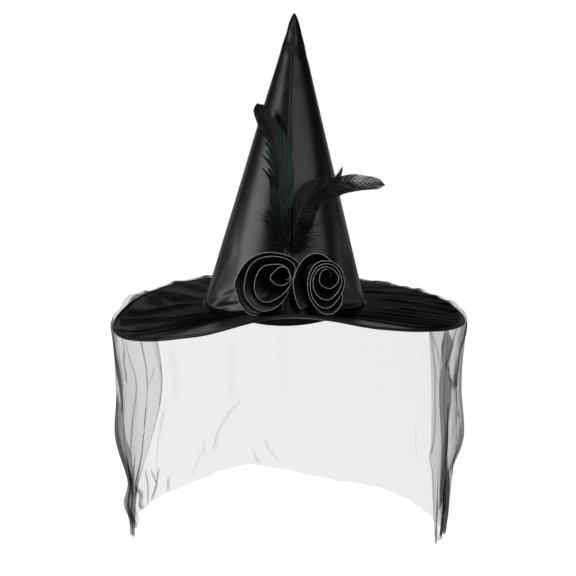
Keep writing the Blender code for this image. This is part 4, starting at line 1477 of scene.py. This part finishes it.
@dataclass
class Feather:
    """Rooster feather: a tapered quill with a row of barbs on each side, and down at its foot."""

    name: str
    crown: Crown
    shafts: tuple[Shaft, ...]
    vane_start: float
    splits: tuple[Split, ...]
    tufts: tuple[Tuft, ...]
    downs: tuple[Down, ...]
    seed: int
    barbs: int = 950
    barb_rows: int = 9
    barb_width: float = 0.85
    barb_taper: float = 0.6
    barb_tilt: float = 0.3
    bow: float = 0.16           # of a barb's length, at its middle
    leads: tuple[float, float] = (1.4, 2.3)     # how far left and right tips run ahead, in lengths
    drift: float = 0.025        # how far the clumps' tips shift along the shaft
    shrink: float = 0.07        # how much shorter the shortest barbs are
    clump_shrink: float = 0.03
    split_push: float = 0.8     # how far a split pushes the tips apart, and how wide its notch is,
    split_notch: float = 0.35   # in its widths
    clump_tone: float = 0.4     # middle tone, how much clumps differ from it and how much barbs do
    clump_range: float = 0.9
    barb_range: float = 0.2
    tip_scatter: float = 0.18
    barb_scatter: float = 0.10
    cup: float = 0.12
    tuft_barbs: int = 34
    tuft_taper: float = 0.75
    tuft_tilt: float = 0.14
    tuft_scatter: float = 0.35
    tuft_ends: float = 0.12     # share of their length by which a tuft's barbs end early
    tuft_sag: float = 1.5
    down_barbs: int = 300
    down_width: float = 0.42
    down_taper: float = 0.5
    down_tilt: float = 0.5
    down_scatter: float = 0.3
    down_waver: float = 0.7
    down_loft: float = 2.0      # how far the down stands forwards at most
    left_painted_sheen: float = 1.0     # share of the painted sheen that the left side of the vane takes; the rest is painted shade
    tip_pace: float = 0.0       # share of a barb's run along the shaft that its thinning takes in
    quill_radius: float = 0.62
    quill_taper: float = 0.86
    quill_proud: float = 0.3
    seat: float = 0.62

    def table(self) -> tuple[np.ndarray, np.ndarray, np.ndarray]:
        """The shaft's places, with its foot seated on the crown, and the two spreads.

        Returns:
            The places, the left spreads and the right spreads.
        """
        path = np.stack([column(self.shafts, axis) for axis in "xyz"], axis=-1)
        path[0, 1] = self.crown.front(path[0, 0], path[0, 2], self.seat)
        return path, column(self.shafts, "left"), column(self.shafts, "right")

    def along(self, at: np.ndarray) -> tuple[np.ndarray, np.ndarray, np.ndarray]:
        """Place, direction and sideways direction of the shaft at any place of its table.

        Args:
            at: places in the shaft's table.

        Returns:
            Three tables of vectors, (..., 3).
        """
        path, _, _ = self.table()
        keys = np.arange(len(path))
        step = 0.01
        here, ahead = (
            np.stack([smooth(keys, path[:, axis], at + more) for axis in range(3)], axis=-1)
            for more in (0.0, step)
        )
        forward = unit(ahead - here)
        across = unit(np.cross(forward, np.array([0.0, 1.0, 0.0])))
        return here, forward, across

    def spread(self, at: np.ndarray, side: int) -> np.ndarray:
        """How far the vane reaches on one side."""
        _, left, right = self.table()
        return smooth(np.arange(len(left)), right if side > 0 else left, at)

    def strips(self, root_at: np.ndarray, line: np.ndarray, width: float, taper: float, tilt: float,
               rng: np.random.Generator, painted_sheen_share: float = 0.0) -> Patch:
        """Barbs as narrow strips along their middle lines.

        Args:
            root_at: where each barb starts, in the shaft's table.
            line: (barbs, rows, 3).
            width: of a barb at its root.
            taper: share of the width lost at its tip.
            tilt: how unevenly the strips face the front.
            rng: the feather's random numbers.
            painted_sheen_share: share of the painted sheen that these barbs take; less of it is painted
                shade.

        Returns:
            A patch with a small grid for each barb.
        """
        barbs, rows, _ = line.shape
        share = np.linspace(0, 1, rows)[None, :, None]
        ahead = unit(np.gradient(line, axis=1))
        facing = np.array([0.0, -1.0, 0.0]) + rng.normal(0, tilt, (barbs, 1, 3))
        wide = unit(np.cross(ahead, facing))
        half = 0.5 * width * (1 - taper * share ** 2)
        points = np.stack([line - wide * half, line + wide * half], axis=2)
        place = np.broadcast_to((root_at / (len(self.shafts) - 1))[:, None, None], points.shape[:-1])
        clumped = self.clump_tone + self.clump_range * wander(root_at, self.seed + 3, (3.3, 5.1, 8.3))
        clumped = clumped + self.barb_range * (rng.random(barbs) - 0.5)
        tone = np.broadcast_to(np.clip(clumped, 0.0, 1.0)[:, None, None], points.shape[:-1])
        # Mark "gloss": the share of the painted sheen, for the finish.
        gloss = np.full(points.shape[:-1], painted_sheen_share)
        uv = np.broadcast_to(even_uv(rows, 2), points.shape[:-1] + (2,))
        return Patch(points, uv, marks={"along": place, "tone": tone, "gloss": gloss})

    def vane(self, side: int) -> Patch:
        """One side's barbs, each a narrow strip.

        A barb runs from its root on the shaft to its tip on the vane's outline, which lies further along the
        shaft. Between them it bows along the shaft by the share times one less the share. Barbs cling
        together in clumps, and splits push their tips apart.

        Args:
            side: 1 for the right side and -1 for the left.

        Returns:
            The side's patch.
        """
        rng = np.random.default_rng(self.seed + side)
        last = len(self.shafts) - 1
        root_at = np.sort(rng.uniform(self.vane_start, last - 0.02, self.barbs))
        root, forward, _ = self.along(root_at)
        reach = np.maximum(self.spread(root_at, side), 0.6)
        pace = np.linalg.norm(self.along(np.minimum(root_at + 0.5, last))[0]
                              - self.along(np.maximum(root_at - 0.5, 0.0))[0], axis=-1)
        tip_at = root_at + self.leads[side > 0] * reach / np.maximum(pace, 4.0)
        tip_at = tip_at + self.drift * wander(root_at, self.seed + 5 + side, (1.7, 3.1, 5.3, 9.7))
        beyond = np.clip(tip_at - last, 0.0, 0.3)
        tip_at = np.clip(tip_at, 0.0, last)
        clumps = 1 + wander(root_at, self.seed + 9, (6.1, 11.3))
        shorten = 1 - self.shrink * rng.random(self.barbs) - self.clump_shrink * clumps
        for split in self.splits:
            if split.side == side:
                away = tip_at - split.place
                near = np.exp(-(away / split.width) ** 2)
                tip_at = tip_at + np.sign(away) * split.width * near * self.split_push
                notch = np.exp(-(away / (self.split_notch * split.width)) ** 2)
                shorten = shorten * (1 - split.depth * notch)
        tip_at = np.clip(tip_at, 0.0, last)
        tip_base, tip_forward, tip_across = self.along(tip_at)
        tip_reach = np.maximum(self.spread(tip_at, side), 0.4) * shorten
        tip = tip_base - side * tip_across * tip_reach[:, None] + tip_forward * (beyond * 3.0)[:, None]
        tip[:, 1] += self.cup * tip_reach + rng.normal(0, self.tip_scatter, self.barbs)
        share = np.linspace(0, 1, self.barb_rows)[None, :, None]
        root, tip, forward = (table[:, None, :] for table in (root, tip, forward))
        line = root + share * (tip - root)
        outward = unit(np.cross(forward, np.array([0.0, 1.0, 0.0]))) * -side
        bow = (self.bow * tip_reach)[:, None, None] * share * (1 - share) * 4
        line = line + outward * bow
        line[..., 1] += rng.normal(0, self.barb_scatter, self.barbs)[:, None] * share[0, :, 0]
        # Painted sheen on the right side, and painted shade where the left side takes less of it.
        painted_sheen_share = 1.0 if side > 0 else self.left_painted_sheen
        patch = self.strips(root_at, line, self.barb_width, self.barb_taper, self.barb_tilt, rng, painted_sheen_share)
        run = self.tip_pace * (tip_at - root_at) / last
        patch.marks["along"] = patch.marks["along"] + run[:, None, None] * share
        return patch

    def tuft(self, tuft: Tuft) -> Patch:
        """Barbs that start along the shaft and draw together at the tuft's point.

        Args:
            tuft: its row.

        Returns:
            The tuft's patch.
        """
        rng = np.random.default_rng(self.seed + int(10 * tuft.start))
        root_at = np.linspace(tuft.start, tuft.end, self.tuft_barbs)
        root, _, _ = self.along(root_at)
        depth = root[:, 1].mean() - 0.5
        scatter = rng.normal(0, self.tuft_scatter, (self.tuft_barbs, 3))
        tip = np.array([tuft.x, depth, tuft.z]) + scatter
        tip = tip + (root - tip) * (self.tuft_ends * rng.random(self.tuft_barbs))[:, None]
        share = np.linspace(0, 1, self.barb_rows)[None, :, None]
        line = root[:, None] + share * (tip - root)[:, None]
        line[..., 2] -= self.tuft_sag * (share * (1 - share) * 4)[..., 0]
        return self.strips(root_at, line, self.barb_width, self.tuft_taper, self.tuft_tilt, rng)

    def down(self, down: Down) -> Patch:
        """Loose downy barbs, which stand off the shaft at many angles and waver.

        Args:
            down: its row.

        Returns:
            The down's patch.
        """
        rng = np.random.default_rng(self.seed + 70 + int(10 * down.start))
        count = self.down_barbs
        root_at = rng.uniform(down.start, down.end, count)
        root, forward, across = self.along(root_at)
        lean = rng.normal(down.lean, self.down_scatter, count)[:, None]
        aim = unit(-down.side * across + forward * lean)
        inside = np.clip((root_at - down.start) / (down.end - down.start) * 0.8 + 0.1, 0, 1)
        length = down.length * (0.25 + 0.75 * rng.random(count) ** 1.6) * np.sin(math.pi * inside) ** 0.5
        share = np.linspace(0, 1, self.barb_rows)
        run = share[None, :] * length[:, None]
        waver = np.sin(run * rng.uniform(0.25, 0.6, count)[:, None] + rng.uniform(0, 6.28, count)[:, None])
        sideways = unit(np.cross(aim, np.array([0.0, 1.0, 0.0])))
        line = root[:, None] + aim[:, None] * run[..., None]
        line = line + sideways[:, None] * (self.down_waver * share[None, :] * waver)[..., None]
        line[..., 1] -= rng.uniform(0.0, self.down_loft, count)[:, None] * share
        return self.strips(root_at, line, self.down_width, self.down_taper, self.down_tilt, rng)

    def quill(self) -> Patch:
        """The shaft, which thins evenly towards its tip.

        Returns:
            The shaft's patch.
        """
        last = len(self.shafts) - 1
        at = np.linspace(0, last, 120)
        here, _, _ = self.along(at)
        here[:, 1] -= self.quill_proud
        radius = self.quill_radius * (1 - self.quill_taper * at / last)
        radius[0] = 0.0
        radius[-1] = 0.0
        shaft = tube(here, radius, np.array([0.0, 1.0, 0.0]), 8)
        shaft.slot = 1
        shaft.marks["along"] = np.repeat(at / last, 8)
        return shaft

    def build(self, plumage: bpy.types.Material, quill: bpy.types.Material) -> None:
        """Make the barbs and the quill as one piece.

        Args:
            plumage: finish of the barbs.
            quill: finish of the shaft.
        """
        patches = [self.vane(1), self.vane(-1), self.quill()]
        patches += [self.tuft(tuft) for tuft in self.tufts]
        patches += [self.down(down) for down in self.downs]
        make_piece(f"{self.name}_barbs", patches, [plumage, quill], (self.name,))


LEFT_SHAFTS = (
    Shaft(4.5, -76, 57, 0.9, 0.9), Shaft(4, -72.5, 76, 0.9, 0.9), Shaft(2, -71.5, 86, 6, 1.5),
    Shaft(-1, -70.5, 98, 17, 4), Shaft(-3, -69, 110, 10, 7), Shaft(-4.5, -66.5, 124, 11, 12.5),
    Shaft(-5, -63, 140, 11.5, 15.5), Shaft(-5, -58, 156, 13, 16.5), Shaft(-7, -53, 172, 14, 15.5),
    Shaft(-12, -48, 190, 10.5, 14), Shaft(-20, -42.5, 207, 9.5, 11.5), Shaft(-26, -38, 218, 8, 9),
    Shaft(-28.6, -36.5, 224, 5.5, 6.5), Shaft(-29.6, -36, 227, 1.2, 1.4),
)
RIGHT_SHAFTS = (
    Shaft(10, -76, 58, 0.9, 0.9), Shaft(10, -76, 76, 0.9, 9), Shaft(11.5, -75.5, 92, 2.5, 18),
    Shaft(15, -76, 108, 6, 19), Shaft(21, -74.5, 121, 11, 17), Shaft(31, -68, 132, 14, 16),
    Shaft(43, -60, 138.5, 12, 16), Shaft(58, -50, 141.5, 7, 15), Shaft(74, -42, 142, 9, 12),
    Shaft(90, -36, 140.5, 8, 9), Shaft(102, -31, 138.5, 6.8, 6.8), Shaft(107.5, -29, 137.4, 4.2, 4.4),
    Shaft(110.5, -28, 137, 0.9, 0.9),
)


# Studio

CONE_MIDDLE = (0.005, 0.0, 0.165)
CONE_FOOT = (0.0, 0.0, 0.03)


@dataclass
class Softbox:
    """An area light that faces the hat."""

    name: str
    azimuth: float
    elevation: float
    distance: float
    width: float
    height: float
    power: float
    roll: float = 0.0           # degrees about its own direction
    aim: tuple[float, float, float] = (0.0, 0.0, 0.08)

    def build(self) -> None:
        """Hang the light at its place round the hat."""
        light = bpy.data.lights.new(self.name, "AREA")
        light.shape = "RECTANGLE"
        light.size = self.width
        light.size_y = self.height
        light.energy = self.power
        lamp = bpy.data.objects.new(self.name, light)
        lamp.visible_camera = False
        bpy.context.scene.collection.objects.link(lamp)
        turn, rise = math.radians(self.azimuth), math.radians(self.elevation)
        away = Vector((math.sin(turn) * math.cos(rise), -math.cos(turn) * math.cos(rise), math.sin(rise)))
        lamp.location = Vector(self.aim) + away * self.distance
        facing = (-away).to_track_quat("-Z", "Y")
        lamp.rotation_euler = (facing @ Quaternion((0.0, 0.0, 1.0), math.radians(self.roll))).to_euler()


@dataclass
class Studio:
    """White light-table floor, softboxes and the camera of the photograph."""

    camera_target: tuple[float, float, float] = (0.004, 0.0, 0.016)
    camera_distance: float = 2.2
    camera_elevation: float = 10.0
    view_width: float = 0.6526      # of the photograph at the target
    sensor_width: float = 36.0
    floor_height: float = -0.42
    floor_size: float = 60.0
    floor_haze: float = 2.0         # scale of the noise in its roughness
    floor_glow: float = 0.25        # brightness that the hat's reflections see
    room_glow: float = 0.02         # the same for the room
    softboxes: tuple[Softbox, ...] = (
        Softbox("left strip", -70.0, 15.0, 1.1, 0.9, 0.35, 4.0, 25.0, CONE_MIDDLE),
        Softbox("low left strip", -102.0, 6.0, 1.1, 0.5, 0.12, 0.7, 0.0, CONE_FOOT),
        Softbox("low right strip", 106.0, 6.0, 1.1, 0.5, 0.12, 0.13, 0.0, CONE_FOOT),
        Softbox("right strip", 40.0, 18.0, 1.1, 1.3, 0.28, 2.4, -14.0, CONE_MIDDLE),
        Softbox("front softbox", -10.0, 50.0, 2.4, 1.6, 0.8, 8.0),
        Softbox("back wall", 180.0, 8.0, 3.0, 5.0, 1.0, 4.5),
    )

    def build_floor(self) -> None:
        """Opal sheet: plain white for the eye, dimmer for its reflections in the hat, clear from below."""
        finish, tree, shader = new_finish("opal acrylic floor", "#5c5c5c", 0.8)
        shader.inputs["Emission Color"].default_value = srgb("#ffffff")
        place = add_node(tree, "ShaderNodeTexCoord").outputs["Object"]
        haze = add_node(tree, "ShaderNodeTexNoise", {"Vector": place, "Scale": self.floor_haze})
        matt = add_node(tree, "ShaderNodeMapRange", {
            "Value": haze.outputs["Fac"], "To Min": 0.75, "To Max": 0.85,
        })
        seen = add_node(tree, "ShaderNodeLightPath").outputs["Is Camera Ray"]
        glow = add_node(tree, "ShaderNodeMapRange", {"Value": seen, "To Min": self.floor_glow, "To Max": 1.0})
        from_below = add_node(tree, "ShaderNodeNewGeometry").outputs["Backfacing"]
        solid = add_node(tree, "ShaderNodeMapRange", {"Value": from_below, "To Min": 1.0, "To Max": 0.0})
        tree.links.new(solid.outputs[0], shader.inputs["Alpha"])
        tree.links.new(matt.outputs[0], shader.inputs["Roughness"])
        tree.links.new(glow.outputs[0], shader.inputs["Emission Strength"])
        mesh = bpy.data.meshes.new("floor")
        half = self.floor_size / 2
        corners = ((-half, -half), (half, -half), (half, half), (-half, half))
        mesh.from_pydata([(*corner, self.floor_height) for corner in corners], [], [(0, 1, 2, 3)])
        mesh.materials.append(finish)
        floor = bpy.data.objects.new("floor", mesh)
        bpy.context.scene.collection.objects.link(floor)

    def build_world(self) -> None:
        """White behind the hat for the eye, and dim for its reflections, as in a room with dark walls."""
        world = bpy.data.worlds.new("studio room")
        world.use_nodes = True
        tree = world.node_tree
        back = tree.nodes["Background"]
        back.inputs["Color"].default_value = srgb("#ffffff")
        seen = add_node(tree, "ShaderNodeLightPath").outputs["Is Camera Ray"]
        strength = add_node(tree, "ShaderNodeMapRange", {
            "Value": seen, "To Min": self.room_glow, "To Max": 1.0,
        })
        tree.links.new(strength.outputs[0], back.inputs["Strength"])
        bpy.context.scene.world = world

    def build_camera(self) -> None:
        """Camera in front of the hat, a little above it."""
        data = bpy.data.cameras.new("camera")
        data.sensor_width = self.sensor_width
        data.lens = self.sensor_width * self.camera_distance / self.view_width
        camera = bpy.data.objects.new("camera", data)
        bpy.context.scene.collection.objects.link(camera)
        rise = math.radians(self.camera_elevation)
        away = Vector((0.0, -math.cos(rise), math.sin(rise))) * self.camera_distance
        camera.location = Vector(self.camera_target) + away
        camera.rotation_euler = (math.pi / 2 - rise, 0.0, 0.0)
        bpy.context.scene.camera = camera

    def build(self) -> None:
        """Set up the floor, the room, the lights and the camera."""
        self.build_floor()
        self.build_world()
        self.build_camera()
        for softbox in self.softboxes:
            softbox.build()
        scene = bpy.context.scene
        scene.view_settings.view_transform = "Standard"
        scene.cycles.transparent_max_bounces = LAYERS_OF_NET


def main() -> None:
    """Build the hat's pieces round the frame, then the studio."""
    logging.basicConfig(level=logging.INFO, format="%(name)s: %(message)s")
    satin = Satin().material()
    # The ribbon is black satin drawn lighter than the crown's, #161619: painted fill light on the petal
    # faces.
    ribbon = Satin(name="black satin ribbon", colour="#161619", roughness=0.38, thread_mm=0.8).material()
    thread = SelvedgeThread().material()
    # Near-white #d2d2d6 on the black ribbon's edge is a painted highlight: the thin bright line that the edge
    # catches.
    selvedge_highlight = SelvedgeThread(name="woven ribbon selvedge", colour="#d2d2d6", roughness=0.35).material()
    crown = Crown()
    brim = Brim()
    crown.build(satin, thread)
    brim.build(satin, thread)
    InnerBand(brim, crown).build(Grosgrain().material())
    TulleSheet(brim).build(Tulle())
    RibbonRose("left_rose", crown, (-7.0, 42.0), LEFT_ROSE_RIMS, 21, 3.4).build(ribbon, selvedge_highlight)
    RibbonRose("right_rose", crown, (40.0, 40.0), RIGHT_ROSE_RIMS, 31, 2.9).build(ribbon, selvedge_highlight)
    quill = Quill().material()
    # 192e28 is the feather's green iridescence, painted into the colour as a sheen band along its middle.
    green = Plumage("green-black rooster feather", "#0a0a0c", "#192e28", 0.34, 0.58,
                    thin_from=0.9, tip_cover=0.75)
    # The grey #3e3e42 on the outer part is painted light: the glow of the backlit, thinning tip, beside the
    # real light that its lower cover lets through.
    black = Plumage("black rooster feather", "#070708", "#3e3e42", 0.62, 1.0, tip_cover=0.28)
    Feather("left_feather", crown, LEFT_SHAFTS, 2.6, (
        Split(-1, 9.3, 0.24, 0.6), Split(-1, 8.7, 0.24, 0.7), Split(-1, 8.2, 0.22, 0.7),
        Split(-1, 7.6, 0.30, 0.8), Split(-1, 6.9, 0.24, 0.6), Split(1, 10.3, 0.16, 0.25),
    ), (
        Tuft(-1, 6.6, 7.4, -24.5, 174.0), Tuft(-1, 5.6, 6.3, -24.0, 160.0),
    ), (
        Down(-1, 1.8, 3.4, 34.0, 1.0), Down(-1, 0.8, 1.9, 30.0, 0.5), Down(1, 2.0, 3.6, 9.0),
    ), 41, left_painted_sheen=0.3).build(green.material(), quill)
    Feather("right_feather", crown, RIGHT_SHAFTS, 1.2, (
        Split(1, 2.2, 0.2, 0.3), Split(-1, 6.9, 0.22, 0.45),
    ), (Tuft(-1, 6.2, 7.2, 64.0, 160.0),), (
        Down(1, 0.6, 2.8, 34.0, 0.1), Down(1, 0.6, 2.2, 20.0, 0.3), Down(-1, 0.6, 1.6, 6.0),
    ), 51, tip_pace=0.8).build(black.material(), quill)
    Studio().build()


if __name__ == "__main__":
    main()
